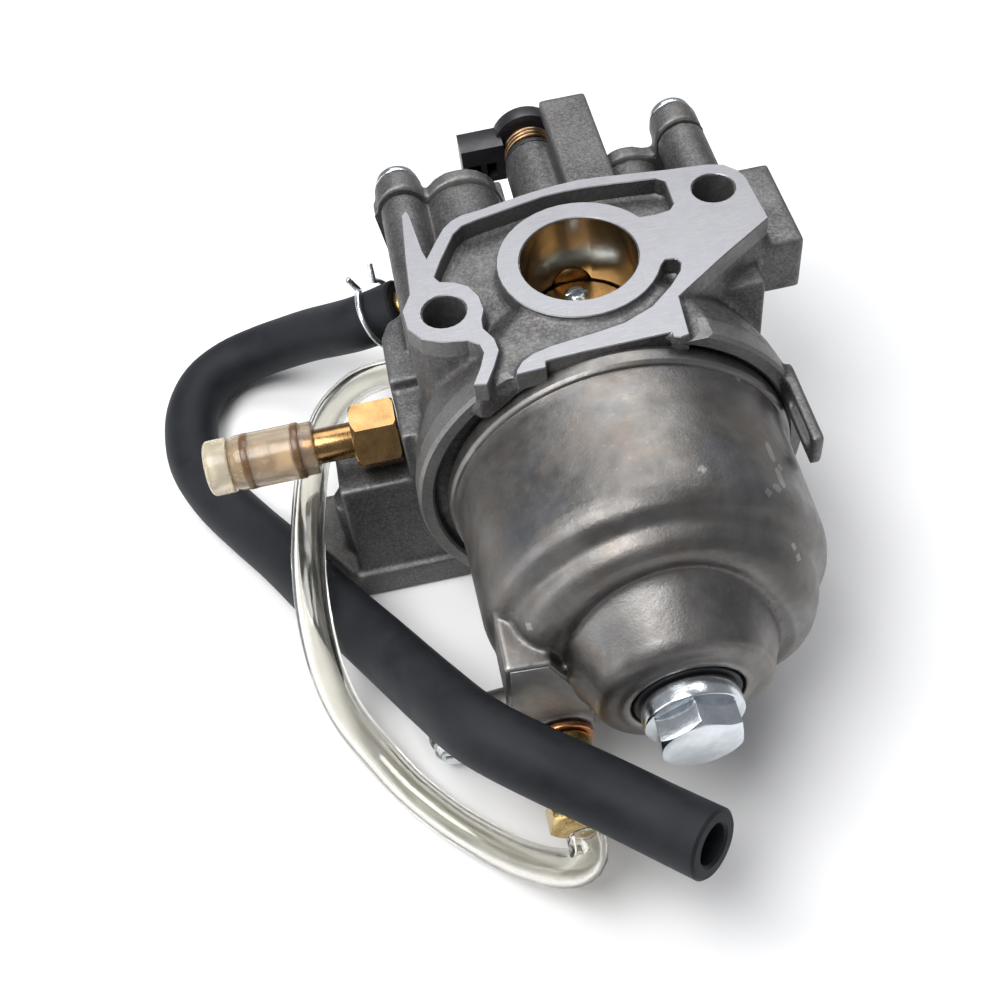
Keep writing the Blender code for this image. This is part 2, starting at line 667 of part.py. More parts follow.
def hose_clamp():
    """A bent-wire spring clamp; its ends cross and stand up as two ears."""
    centres = smooth_route(FUEL_ROUTE, 1.0)
    centre = centres[4]
    along = (centres[5] - centres[3]).normalized()
    up = Vector((0, 0.4, 0.92))
    up = (up - along * up.dot(along)).normalized()
    side = along.cross(up)
    points = []
    for k in range(25):
        angle = math.radians(12 + 336 * k / 24)
        drift = along * (0.9 * (k / 24 - 0.5) * 2)
        points.append(centre + (up * math.cos(angle) + side * math.sin(angle)) * 5.5 + drift)
    first = points[0] + up * 2.6 + side * 0.9 - along * 0.4
    last = points[-1] + up * 2.6 - side * 0.9 + along * 0.4
    wire = sweep([first, *points, last], 0.5, 6)
    finish(wire, "hose_clamp", "zinc")


# ---------------------------------------------------------------- throttle and choke
def throttle_parts():
    pivot = (0, 0, SHAFT_Z)
    shaft = rod(2.7, (0, -13.5, SHAFT_Z), (0, 44.2, SHAFT_Z), 28, 0.4)
    cut(shaft, block(-4, 4, -7.9, 7.9, SHAFT_Z - 0.85, SHAFT_Z + 4))
    cut(
        shaft,
        rod(0.9, (0, 4.0, SHAFT_Z - 5), (0, 4.0, SHAFT_Z + 5), 14),
        rod(0.9, (0, -4.0, SHAFT_Z - 5), (0, -4.0, SHAFT_Z + 5), 14),
    )
    finish(shaft, "throttle_shaft", "brass", origin=pivot)
    plate = rod(7.65, (0, 0, SHAFT_Z - 0.5), (0, 0, SHAFT_Z + 0.4), 36)
    cut(
        plate,
        rod(0.9, (0, 4.0, SHAFT_Z - 5), (0, 4.0, SHAFT_Z + 5), 14),
        rod(0.9, (0, -4.0, SHAFT_Z - 5), (0, -4.0, SHAFT_Z + 5), 14),
    )
    finish(plate, "throttle_plate", "brass", origin=pivot)
    for name, y in (("throttle_plate_screw_upper", 4.0), ("throttle_plate_screw_lower", -4.0)):
        low = SHAFT_Z - 2.6
        profile = [(0, low), (0.7, low), (0.7, SHAFT_Z + 0.7), (1.7, SHAFT_Z + 0.7),
                   (1.7, SHAFT_Z + 1.4), (1.2, SHAFT_Z + 1.9), (0, SHAFT_Z + 2.0)]
        screw = lathe(profile, (0, y, 0), (0, 0, 1), 14)
        cut(screw, block(-2, 2, y - 0.25, y + 0.25, SHAFT_Z + 1.5, SHAFT_Z + 4))
        finish(screw, name, "zinc", origin=(0, y, SHAFT_Z))
    lever = ring(5.3, 3.0, (0, 40.9, SHAFT_Z), (0, 43.4, SHAFT_Z), 32)
    unite(lever, block(-10.8, -4.0, 38.6, 43.4, -16.2, -9.6))
    cut(
        lever,
        rod(3.0, (0, 36.0, SHAFT_Z), (0, 46.0, SHAFT_Z), 22),
        block(-9.8, -7.9, 36.0, 42.2, -15.2, -12.6),
        block(-7.0, -5.4, 36.0, 42.2, -15.2, -12.6),
    )
    finish(lever, "throttle_lever", "black_plastic", origin=pivot)
    finish(
        ring(4.2, 3.0, (0, 36.1, SHAFT_Z), (0, 36.9, SHAFT_Z), 22), "throttle_shaft_seal", "rubber",
        origin=pivot,
    )
    coil = coil_points((0, 0, SHAFT_Z), (0, 1, 0), 3.75, 3.6, 37.5, 40.0, 12, 2.4)
    finish(sweep(coil, 0.32, 5), "throttle_return_spring", "spring", origin=pivot)


def choke_parts():
    pivot = (0, 0, CHOKE_Z)
    shaft = rod(2.0, (0, -13.9, CHOKE_Z), (0, 21.2, CHOKE_Z), 24, 0.3)
    cut(shaft, block(-0.15, 4, -10.6, 10.6, CHOKE_Z - 4, CHOKE_Z + 4))
    cut(shaft, rod(0.8, (-5, 0, CHOKE_Z), (5, 0, CHOKE_Z), 14))
    finish(shaft, "choke_shaft", "steel", origin=pivot)
    plate = rod(10.5, (0.15, 0, CHOKE_Z), (0.95, 0, CHOKE_Z), 36)
    cut(plate, rod(0.8, (-5, 0, CHOKE_Z), (5, 0, CHOKE_Z), 14))
    finish(plate, "choke_plate", "brass", origin=pivot)
    screw = lathe([(0, -1.7), (0.6, -1.7), (0.6, 1.2), (1.6, 1.2), (1.6, 1.9), (1.1, 2.3), (0, 2.4)],
                  (0, 0, CHOKE_Z), (1, 0, 0), 20)
    finish(screw, "choke_plate_screw", "zinc", origin=pivot)
    lean = math.radians(38)
    outline = []
    for along, side in ((0, -3.4), (9.5, -2.4), (11.6, -1.6), (12.0, 0), (11.6, 1.6), (9.5, 2.4), (0, 3.4)):
        outline.append((
            along * math.cos(lean) - side * math.sin(lean),
            CHOKE_Z + along * math.sin(lean) + side * math.cos(lean),
        ))
    lever = prism(outline, "y", 18.3, 19.9)
    unite(lever, rod(4.0, (0, 18.25, CHOKE_Z), (0, 20.1, CHOKE_Z), 22))
    tip = Vector((9.4 * math.cos(lean), 0, CHOKE_Z + 9.4 * math.sin(lean)))
    cut(
        lever,
        rod(2.3, (0, 15.0, CHOKE_Z), (0, 25.0, CHOKE_Z), 24),
        rod(1.0, (tip.x, 15.0, tip.z), (tip.x, 25.0, tip.z), 14),
    )
    finish(lever, "choke_lever", "steel", origin=pivot)


def adjusters():
    idle = rod(1.4, (-8.0, 41.0, -33.0), (-8.0, 41.0, -16.5), 18, 0.4)
    head = rod(2.8, (-8.0, 41.0, -32.6), (-8.0, 41.0, -34.8), 24, 0.4)
    unite(idle, head)
    cut(idle, block(-12, -4, 40.6, 41.4, -36.0, -34.1))
    finish(idle, "idle_speed_screw", "zinc", origin=(-8.0, 41.0, -34.8))
    coil = coil_points((-8.0, 41.0, 0), (0, 0, 1), 2.2, 5.0, -31.9, -25.0, 10)
    finish(sweep(coil, 0.3, 5), "idle_speed_spring", "zinc")
    needle = rod(1.4, (19.6, 22.4, -37.5), (19.6, 12.4, -37.5), 18, 0.8)
    knob = rod(2.6, (19.6, 22.0, -37.5), (19.6, 24.0, -37.5), 24, 0.4)
    unite(needle, knob)
    cut(needle, block(16.0, 24.0, 23.3, 26.0, -37.9, -37.1))
    finish(needle, "mixture_screw", "brass", origin=(19.6, 24.0, -37.5))
    coil = coil_points((19.6, 0, -37.5), (0, 1, 0), 2.1, 3.5, 17.6, 21.4, 10)
    finish(sweep(coil, 0.3, 5), "mixture_screw_spring", "zinc")
    jet = rod(1.8, (27.0, 9.4, -8.8), (27.0, 15.6, -8.8), 20, 0.2)
    cut(jet, block(24.0, 30.0, 14.8, 18.0, -9.1, -8.5))
    finish(jet, "pilot_jet", "brass")


# ---------------------------------------------------------------- inside the bowl
def float_parts():
    pin = (16.9, -16.2, BOWL_Z)
    drum = lathe([(8.5, 27.4), (9.1, 26.6), (17.4, 26.6), (18.0, 27.4), (18.0, 36.4), (17.0, 37.4),
                  (9.5, 37.4), (8.5, 36.4)], (BOWL_X, 0, BOWL_Z), (0, -1, 0), 28)
    unite(
        drum,
        block(9.5, 17.6, -27.4, -21.0, BOWL_Z - 3.6, BOWL_Z + 3.6),
        block(14.6, 18.2, -22.0, -16.2, BOWL_Z - 3.6, BOWL_Z + 3.6),
        rod(2.0, (16.9, -16.2, BOWL_Z - 3.8), (16.9, -16.2, BOWL_Z + 3.8), 20),
    )
    cut(drum, rod(1.2, (16.9, -16.2, BOWL_Z - 6), (16.9, -16.2, BOWL_Z + 6), 16))
    finish(drum, "float", "black_plastic", origin=pin)
    finish(rod(0.9, (16.9, -16.2, -32.0), (16.9, -16.2, -17.8), 16), "float_hinge_pin", "steel")
    needle = lathe([(0, -20.6), (1.7, -20.6), (1.7, -16.4), (0.6, -14.2), (0, -14.2)],
                   (11.9, 0, BOWL_Z), (0, 1, 0), 20)
    finish(needle, "float_needle", "steel", origin=(11.9, -20.6, BOWL_Z))
    seat = ring(3.0, 1.0, (11.9, -13.9, BOWL_Z), (11.9, -9.2, BOWL_Z), 24)
    finish(seat, "needle_seat", "brass")


def nozzle_parts():
    x, z = BOWL_X, BOWL_Z
    nozzle = ring(2.1, 0.9, (x, -31.4, z), (x, -5.2, z), 24)
    finish(nozzle, "main_nozzle", "brass")
    jet = ring(2.2, 0.5, (x, -36.9, z), (x, -31.8, z), 24)
    finish(jet, "main_jet", "brass")


def seals():
    washer = ring(6.9, 3.3, (BOWL_X, -53.3, BOWL_Z), (BOWL_X, -54.1, BOWL_Z), 36)
    finish(washer, "bowl_bolt_washer", "rubber")
    circle = []
    for k in range(6):
        angle = 2 * math.pi * k / 6
        circle.append((22.9 + 0.5 * math.cos(angle), 17.2 + 0.5 * math.sin(angle)))
    finish(lathe(circle, (BOWL_X, 0, BOWL_Z), (0, -1, 0), 40), "bowl_gasket", "rubber")


# ---------------------------------------------------------------- hoses
FUEL_ROUTE = [
    (-24.8, 25.9, -26.9), (-28.4, 26.8, -28.8), (-32.6, 28.1, -30.95), (-36.8, 31.4, -34.4),
    (-41.2, 35.0, -38.0),
    (-46.0, 38.0, -41.5), (-51.4, 39.6, -44.0), (-57.1, 39.3, -45.5), (-61.7, 36.1, -45.8),
    (-64.3, 30.7, -45.8), (-65.0, 24.6, -45.8), (-64.1, 17.4, -45.8), (-60.7, 9.5, -45.8),
    (-56.0, 2.1, -45.7), (-50.9, -5.6, -44.9), (-44.6, -16.8, -42.4), (-37.6, -29.4, -37.4),
    (-30.8, -42.4, -31.2), (-25.8, -51.5, -26.3), (-19.6, -57.4, -25.9), (-12.7, -62.4, -27.2),
    (-6.5, -67.6, -27.4), (-1.6, -72.6, -25.6),
]
VENT_ROUTE = [
    (-26.9, 21.9, -37.4), (-30.8, 21.5, -37.1), (-34.4, 19.4, -36.0), (-37.3, 16.2, -35.0),
    (-39.7, 12.2, -34.0), (-41.6, 7.0, -33.2), (-43.2, -0.5, -31.8), (-44.4, -9.4, -31.0),
    (-45.2, -17.6, -31.3), (-45.6, -25.0, -33.6), (-45.3, -31.3, -38.0), (-43.8, -36.6, -42.4),
    (-40.6, -41.8, -46.0), (-36.9, -47.4, -47.6), (-32.3, -53.0, -47.8), (-28.0, -57.4, -47.3),
    (-24.6, -60.8, -45.7), (-21.4, -63.7, -43.2), (-18.4, -65.9, -40.6), (-16.4, -66.4, -38.9),
    (-15.3, -65.6, -37.7), (-15.2, -63.2, -37.5),
]


def smooth_route(route, spacing):
    """Even points along a Catmull-Rom curve through the route."""
    knots = [Vector(p) for p in route]
    knots = [knots[0] * 2 - knots[1], *knots, knots[-1] * 2 - knots[-2]]
    fine = []
    for a, b, c, d in zip(knots, knots[1:], knots[2:], knots[3:]):
        for k in range(12):
            t = k / 12
            fine.append(0.5 * (2 * b + (c - a) * t + (2 * a - 5 * b + 4 * c - d) * t * t
                               + (3 * b - a - 3 * c + d) * t * t * t))
    fine.append(knots[-2])
    total = sum((q - p).length for p, q in zip(fine, fine[1:]))
    count = max(2, round(total / spacing))
    points, gone, target = [fine[0]], 0.0, total / count
    for p, q in zip(fine, fine[1:]):
        step = (q - p).length
        while gone + step >= target - 1e-9 and len(points) < count:
            points.append(p.lerp(q, (target - gone) / step))
            target += total / count
        gone += step
    points.append(fine[-1])
    return points


def cord(name, route, diameter, spacing, resolution, finish_key):
    data = bpy.data.curves.new(name, "CURVE")
    data.dimensions = "3D"
    data.bevel_depth = diameter / 2 * MM
    data.bevel_resolution = resolution
    data.use_fill_caps = True
    spline = data.splines.new("POLY")
    points = smooth_route(route, spacing)
    spline.points.add(len(points) - 1)
    for slot, point in zip(spline.points, points):
        place = (point + Vector(STAND)) * MM
        slot.co = (*place, 1.0)
    obj = bpy.data.objects.new(name, data)
    obj.data.materials.append(material(finish_key))
    bpy.context.scene.collection.objects.link(obj)


def build():
    clear_scene()
    main_body()
    float_bowl()
    top_gasket()
    top_cover()
    cover_screws()
    bowl_bolt()
    drain_parts()
    side_fitting()
    hose_nipples()
    hose_clamp()
    throttle_parts()
    choke_parts()
    adjusters()
    float_parts()
    nozzle_parts()
    seals()
    cord("fuel_hose", FUEL_ROUTE, HOSE_OD, 7.0, 2, "rubber")
    cord("vent_tube", VENT_ROUTE, TUBE_OD, 4.0, 2, "clear")


build()
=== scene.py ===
"""Looks for the float-bowl carburetor: castings, bowl, fittings and hoses round the CAD frame.

Shapes are made in millimetres from the middle of the intake bore on the engine flange
(+X right, +Y away from the bowl's bolt, +Z out of the flange) and placed in metres.
"""
import json
import math

import bmesh
import bpy
from mathutils import Matrix, Vector

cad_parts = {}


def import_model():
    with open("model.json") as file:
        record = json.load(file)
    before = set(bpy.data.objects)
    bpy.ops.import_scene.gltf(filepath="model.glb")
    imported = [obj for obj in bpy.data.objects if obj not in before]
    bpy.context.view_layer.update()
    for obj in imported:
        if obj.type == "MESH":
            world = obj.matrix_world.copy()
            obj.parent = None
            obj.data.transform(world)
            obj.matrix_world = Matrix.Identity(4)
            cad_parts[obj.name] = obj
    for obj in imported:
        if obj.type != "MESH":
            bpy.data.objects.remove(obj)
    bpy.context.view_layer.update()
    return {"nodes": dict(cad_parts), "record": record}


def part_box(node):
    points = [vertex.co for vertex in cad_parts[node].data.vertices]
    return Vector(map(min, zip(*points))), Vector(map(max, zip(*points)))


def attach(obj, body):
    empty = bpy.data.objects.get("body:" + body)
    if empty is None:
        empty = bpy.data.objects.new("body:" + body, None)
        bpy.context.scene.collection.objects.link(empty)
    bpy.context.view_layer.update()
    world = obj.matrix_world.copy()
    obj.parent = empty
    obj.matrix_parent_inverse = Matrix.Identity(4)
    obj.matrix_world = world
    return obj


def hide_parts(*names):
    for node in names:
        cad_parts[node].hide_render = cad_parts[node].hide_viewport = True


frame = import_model()
MM = 0.001


def frame_origin():
    """The bore's middle on the engine flange, in the frame's metres."""
    low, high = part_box("throttle_plate")
    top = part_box("main_body")[1][2]
    return Vector(((low[0] + high[0]) / 2, (low[1] + high[1]) / 2, top))


ORIGIN = frame_origin()
SHAFT_Z = -12.0
BOWL = (0.5, -24.9)
DRAIN = (-15.2, -37.5)
UNION = (-2.5, -24.0)
SCREW = (-29.4, -45.6)
STUDS = {"left": (-19.1, -4.9), "right": (20.8, 8.2)}


def world(point):
    return ORIGIN + Vector(point) * MM


# ---------------------------------------------------------------- camera
def add_camera():
    right = Vector((0.97833, -0.18153, -0.09960))
    down = Vector((-0.20483, -0.77805, -0.59388))
    forward = Vector((0.03032, 0.60141, -0.79837))
    data = bpy.data.cameras.new("camera")
    data.sensor_width = 36.0
    data.lens = 45.74
    data.clip_start = 0.005
    camera = bpy.data.objects.new("camera", data)
    turn = Matrix((right, -down, -forward)).transposed()
    camera.matrix_world = Matrix.Translation(world((-21.996, -125.003, 116.912))) @ turn.to_4x4()
    bpy.context.scene.collection.objects.link(camera)
    bpy.context.scene.camera = camera


# ---------------------------------------------------------------- mesh helpers
def link(name, bm, merge=1e-4):
    if merge:
        bmesh.ops.remove_doubles(bm, verts=bm.verts, dist=merge)
    bmesh.ops.recalc_face_normals(bm, faces=bm.faces)
    mesh = bpy.data.meshes.new(name)
    bm.to_mesh(mesh)
    bm.free()
    obj = bpy.data.objects.new(name, mesh)
    bpy.context.scene.collection.objects.link(obj)
    return obj


def axes_along(axis):
    w = Vector(axis).normalized()
    aside = Vector((0, 0, 1)) if abs(w.z) < 0.9 else Vector((1, 0, 0))
    u = aside.cross(w).normalized()
    return Matrix((u, w.cross(u), w)).transposed()


def lathe(profile, centre, axis, segments=96):
    """Turn (radius, height) points round an axis; the profile is closed either way."""
    turn = axes_along(axis)
    origin = Vector(centre)
    bm = bmesh.new()
    rings = []
    for radius, height in profile:
        single = radius < 1e-6
        ring = []
        for k in range(1 if single else segments):
            angle = 2 * math.pi * k / segments
            local = Vector((radius * math.cos(angle), radius * math.sin(angle), height))
            ring.append(bm.verts.new(origin + turn @ local))
        rings.append(ring)
    pairs = list(zip(rings, rings[1:]))
    if not (len(rings[0]) == 1 and len(rings[-1]) == 1):
        pairs.append((rings[-1], rings[0]))
    for a, b in pairs:
        for k in range(segments):
            n = (k + 1) % segments
            if len(a) == 1 and len(b) == 1:
                break
            if len(a) == 1:
                bm.faces.new((a[0], b[k], b[n]))
            elif len(b) == 1:
                bm.faces.new((a[k], b[0], a[n]))
            else:
                bm.faces.new((a[k], b[k], b[n], a[n]))
    return link("lathe", bm)


def rounded(profile, radius=0.25, steps=3):
    """The profile with each corner away from the axis cut into a small arc."""
    result = []
    count = len(profile)
    for i, (r, h) in enumerate(profile):
        before = Vector(profile[i - 1])
        after = Vector(profile[(i + 1) % count])
        here = Vector((r, h))
        ends_on_axis = r < 1e-6
        if ends_on_axis:
            result.append((r, h))
            continue
        back = before - here
        ahead = after - here
        if back.length < 1e-6 or ahead.length < 1e-6:
            result.append((r, h))
            continue
        reach = min(radius, back.length * 0.45, ahead.length * 0.45)
        a = here + back.normalized() * reach
        b = here + ahead.normalized() * reach
        for k in range(steps + 1):
            t = k / steps
            point = a * (1 - t) ** 2 + here * 2 * t * (1 - t) + b * t * t
            result.append((point.x, point.y))
    return result


def rod(radius, start, end, segments=64, round_off=0.0):
    a, b = Vector(start), Vector(end)
    length = (b - a).length
    profile = [(0, 0), (radius, 0), (radius, length), (0, length)]
    if round_off:
        profile = rounded(profile, round_off)
    return lathe(profile, a, b - a, segments)


def prism(outline, axis, low, high):
    """Extrude an outline: (x, y) for axis z, (x, z) for axis y, (y, z) for axis x."""
    place = {
        "x": lambda a, b, h: (h, a, b),
        "y": lambda a, b, h: (a, h, b),
        "z": lambda a, b, h: (a, b, h),
    }[axis]
    bm = bmesh.new()
    bottom = [bm.verts.new(place(a, b, low)) for a, b in outline]
    top = [bm.verts.new(place(a, b, high)) for a, b in outline]
    bm.faces.new(bottom)
    bm.faces.new(top[::-1])
    for i in range(len(outline)):
        j = (i + 1) % len(outline)
        bm.faces.new((bottom[i], bottom[j], top[j], top[i]))
    return link("prism", bm)


def block(x0, x1, y0, y1, z0, z1):
    return prism([(x0, y0), (x1, y0), (x1, y1), (x0, y1)], "z", z0, z1)


def hexagon(flats, start, end, turn=0.0, chamfer=0.55):
    """A hexagonal bar whose far corners are turned off, as on a bolt head."""
    a, b = Vector(start), Vector(end)
    axes = axes_along(b - a)
    length = (b - a).length
    corner = flats / math.sqrt(3)
    bm = bmesh.new()
    loops = []
    for height in (0.0, length):
        loop = []
        for k in range(6):
            angle = math.radians(60 * k + turn)
            local = Vector((corner * math.cos(angle), corner * math.sin(angle), height))
            loop.append(bm.verts.new(a + axes @ local))
        loops.append(loop)
    bm.faces.new(loops[0])
    bm.faces.new(loops[1])
    for k in range(6):
        n = (k + 1) % 6
        bm.faces.new((loops[0][k], loops[0][n], loops[1][n], loops[1][k]))
    bar = link("hexagon", bm)
    flat = flats / 2
    turned = [
        (0, -0.2), (flat * 1.04, -0.2), (corner + 0.4, chamfer * 0.8),
        (corner + 0.4, length - chamfer), (flat * 0.98, length + 0.1), (0, length + 0.1),
    ]
    return boolean(bar, [lathe(turned, a, b - a, 72)], "INTERSECT")


def tube(points, radius, sides=16, hollow=0.0, mouth=0.0, through=False):
    """A swept tube. mouth is how deep the far end is open; through opens it all along."""
    path = [Vector(p) for p in points]
    frames = []
    across = None
    for i in range(len(path)):
        ahead = (path[min(i + 1, len(path) - 1)] - path[max(i - 1, 0)]).normalized()
        if across is None:
            across = axes_along(ahead).col[0]
        across = (across - ahead * across.dot(ahead)).normalized()
        frames.append((path[i], across.copy(), ahead.cross(across), ahead))
    bm = bmesh.new()

    def loop(index, r, push=0.0):
        centre, u, v, ahead = frames[index]
        made = []
        for k in range(sides):
            angle = 2 * math.pi * k / sides
            spot = centre + ahead * push + (u * math.cos(angle) + v * math.sin(angle)) * r
            made.append(bm.verts.new(spot))
        return made

    lip = min(0.35, radius * 0.12)
    last = len(path) - 1
    rings = [loop(0, radius - lip, 0.0), loop(0, radius, lip)]
    rings += [loop(i, radius) for i in range(1, last)]
    rings += [loop(last, radius, -lip), loop(last, radius - lip, 0.0)]
    if hollow:
        rings += [loop(last, hollow + lip, 0.0), loop(last, hollow, -lip)]
        back = last - 1
        depth = 0.0
        while back > 0 and (through or depth < mouth):
            rings.append(loop(back, hollow))
            depth += (path[back + 1] - path[back]).length
            back -= 1
    if through:
        rings += [loop(0, hollow, lip), loop(0, hollow + lip, 0.0)]
        pairs = list(zip(rings, rings[1:] + rings[:1]))
    else:
        bm.faces.new(rings[0])
        bm.faces.new(rings[-1])
        pairs = list(zip(rings, rings[1:]))
    for a, b in pairs:
        for k in range(sides):
            n = (k + 1) % sides
            bm.faces.new((a[k], a[n], b[n], b[k]))
    return link("tube", bm, merge=0)


def coil(centre, axis, radius, turns, low, high, steps=40, start=0.0):
    """Points along a spring wire; its end turns lie a little flatter than the rest."""
    axes = axes_along(axis)
    total = int(turns * steps)
    points = []
    for k in range(total + 1):
        angle = start + 2 * math.pi * k / steps
        part = k / total
        rise = part * part * (3 - 2 * part) * 0.35 + part * 0.65
        local = Vector((radius * math.cos(angle), radius * math.sin(angle), low + (high - low) * rise))
        points.append(Vector(centre) + axes @ local)
    return points


def apply_modifiers(obj):
    graph = bpy.context.evaluated_depsgraph_get()
    mesh = bpy.data.meshes.new_from_object(obj.evaluated_get(graph))
    obj.modifiers.clear()
    obj.data = mesh
    return obj


def boolean(target, tools, operation):
    group = bpy.data.collections.new("tools")
    for tool in tools:
        group.objects.link(tool)
    step = target.modifiers.new("boolean", "BOOLEAN")
    step.operation = operation
    step.solver = "EXACT"
    if len(tools) == 1:
        step.object = tools[0]
    else:
        step.operand_type = "COLLECTION"
        step.collection = group
    apply_modifiers(target)
    for tool in tools:
        bpy.data.objects.remove(tool, do_unlink=True)
    bpy.data.collections.remove(group)
    return target


def unite(target, *tools):
    return boolean(target, list(tools), "UNION")


def cut(target, *tools):
    return boolean(target, list(tools), "DIFFERENCE")


def bevel(obj, width, segments=2, angle=32):
    step = obj.modifiers.new("bevel", "BEVEL")
    step.width = width
    step.segments = segments
    step.limit_method = "ANGLE"
    step.angle_limit = math.radians(angle)
    step.harden_normals = False
    return apply_modifiers(obj)


def cast(obj, voxel, rounds, shrink=0.0):
    """Melt an assembly of shapes into one rounded casting."""
    step = obj.modifiers.new("melt", "REMESH")
    step.mode = "VOXEL"
    step.voxel_size = voxel
    step.adaptivity = 0.0
    soften = obj.modifiers.new("soften", "SMOOTH")
    soften.factor = 0.5
    soften.iterations = rounds
    if shrink:
        tuck = obj.modifiers.new("tuck", "DISPLACE")
        tuck.mid_level = 0.0
        tuck.strength = -shrink
    return apply_modifiers(obj)


def cad_copy(node):
    """A welded copy of a CAD node's mesh in millimetres."""
    bm = bmesh.new()
    bm.from_mesh(frame["nodes"][node].data)
    bm.transform(frame["nodes"][node].matrix_world)
    for vert in bm.verts:
        vert.co = (vert.co - ORIGIN) / MM
    return link(node + "_copy", bm, merge=1e-3)


def settle(obj, name, finish, body="casting", stands_for=(), angle=40):
    """Name a finished shape, place it in metres, and tie it to the frame."""
    obj.name = name
    obj.data.name = name
    obj.data.transform(Matrix.Translation(ORIGIN) @ Matrix.Scale(MM, 4))
    obj.data.materials.clear()
    obj.data.materials.append(finish)
    obj.data.shade_smooth()
    if angle:
        obj.data.set_sharp_from_angle(angle=math.radians(angle))
    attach(obj, body)
    if stands_for:
        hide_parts(*stands_for)
    return obj


# ---------------------------------------------------------------- materials
class Finish:
    """A small builder for a procedural material."""

    def __init__(self, name, metallic, **inputs):
        self.material = bpy.data.materials.new(name)
        self.material.use_nodes = True
        self.tree = self.material.node_tree
        self.shader = self.tree.nodes["Principled BSDF"]
        self.shader.inputs["Metallic"].default_value = metallic
        for key, value in inputs.items():
            self.shader.inputs[key.replace("_", " ")].default_value = value
        self.where = self.tree.nodes.new("ShaderNodeTexCoord").outputs["Object"]

    def join(self, source, socket):
        if hasattr(source, "is_output"):
            self.tree.links.new(source, socket)
        else:
            socket.default_value = source

    def noise(self, scale, detail=3.0, rough=0.55, stretch=None, turn=(0, 0, 0), warp=0.0):
        place = self.where
        if stretch:
            mapping = self.tree.nodes.new("ShaderNodeMapping")
            mapping.inputs["Scale"].default_value = stretch
            mapping.inputs["Rotation"].default_value = [math.radians(a) for a in turn]
            self.tree.links.new(place, mapping.inputs["Vector"])
            place = mapping.outputs["Vector"]
        node = self.tree.nodes.new("ShaderNodeTexNoise")
        node.inputs["Scale"].default_value = scale
        node.inputs["Detail"].default_value = detail
        node.inputs["Roughness"].default_value = rough
        node.inputs["Distortion"].default_value = warp
        self.tree.links.new(place, node.inputs["Vector"])
        return node.outputs["Fac"]

    def ramp(self, value, low, high, start=0.3, end=0.7):
        node = self.tree.nodes.new("ShaderNodeValToRGB")
        node.color_ramp.elements[0].position = start
        node.color_ramp.elements[1].position = end
        node.color_ramp.elements[0].color = low if len(low) == 4 else (*low, 1)
        node.color_ramp.elements[1].color = high if len(high) == 4 else (*high, 1)
        self.tree.links.new(value, node.inputs["Fac"])
        return node.outputs["Color"]

    def map(self, value, low, high, start=0.3, end=0.7):
        node = self.tree.nodes.new("ShaderNodeMapRange")
        node.inputs["From Min"].default_value = start
        node.inputs["From Max"].default_value = end
        node.inputs["To Min"].default_value = low
        node.inputs["To Max"].default_value = high
        self.tree.links.new(value, node.inputs["Value"])
        return node.outputs["Result"]

    def mix(self, amount, a, b, mode="MIX"):
        node = self.tree.nodes.new("ShaderNodeMix")
        node.data_type = "RGBA"
        node.blend_type = mode
        self.join(amount, node.inputs["Factor"])
        self.join(a if hasattr(a, "is_output") else (*a[:3], 1), node.inputs["A"])
        self.join(b if hasattr(b, "is_output") else (*b[:3], 1), node.inputs["B"])
        return node.outputs["Result"]

    def math(self, operation, a, b=0.0):
        node = self.tree.nodes.new("ShaderNodeMath")
        node.operation = operation
        self.join(a, node.inputs[0])
        self.join(b, node.inputs[1])
        return node.outputs["Value"]

    def edges(self, start, end):
        node = self.tree.nodes.new("ShaderNodeNewGeometry")
        return self.map(node.outputs["Pointiness"], 0.0, 1.0, start, end)

    def colour(self, source):
        self.join(source, self.shader.inputs["Base Color"])
        return self

    def rough(self, source):
        self.join(source, self.shader.inputs["Roughness"])
        return self

    def bump(self, *layers):
        normal = None
        for value, depth in layers:
            node = self.tree.nodes.new("ShaderNodeBump")
            node.inputs["Strength"].default_value = 1.0
            node.inputs["Distance"].default_value = depth * MM
            self.tree.links.new(value, node.inputs["Height"])
            if normal:
                self.tree.links.new(normal, node.inputs["Normal"])
            normal = node.outputs["Normal"]
        self.tree.links.new(normal, self.shader.inputs["Normal"])
        return self


def cast_finish(name, low, high, warm, rough=(0.42, 0.62), grain=0.05):
    made = Finish(name, 0.85)
    patches = made.noise(110, 4, 0.6, warp=0.6)
    tint = made.noise(260, 3, 0.5)
    fine = made.noise(2600, 3, 0.6)
    base = made.ramp(patches, low, high, 0.35, 0.68)
    base = made.mix(made.map(tint, 0.0, 0.45, 0.45, 0.75), base, warm)
    base = made.mix(made.map(fine, 0.0, 0.35, 0.4, 0.8), base, (0.42, 0.41, 0.40))
    worn = made.edges(0.515, 0.56)
    base = made.mix(made.math("MULTIPLY", worn, 0.32), base, (0.40, 0.39, 0.38))
    # painted shade: concave spots (low pointiness) are darkened towards near black, standing in for
    # shadow in pockets and creases
    hollow = made.edges(0.485, 0.44)
    base = made.mix(made.math("MULTIPLY", hollow, 0.55), base, (0.05, 0.048, 0.046))
    made.colour(base)
    made.rough(made.map(made.noise(900, 4), rough[0], rough[1]))
    coarse = made.noise(1500, 4, 0.65)
    made.bump((coarse, grain), (made.noise(5200, 2, 0.5), grain * 0.5))
    return made.material


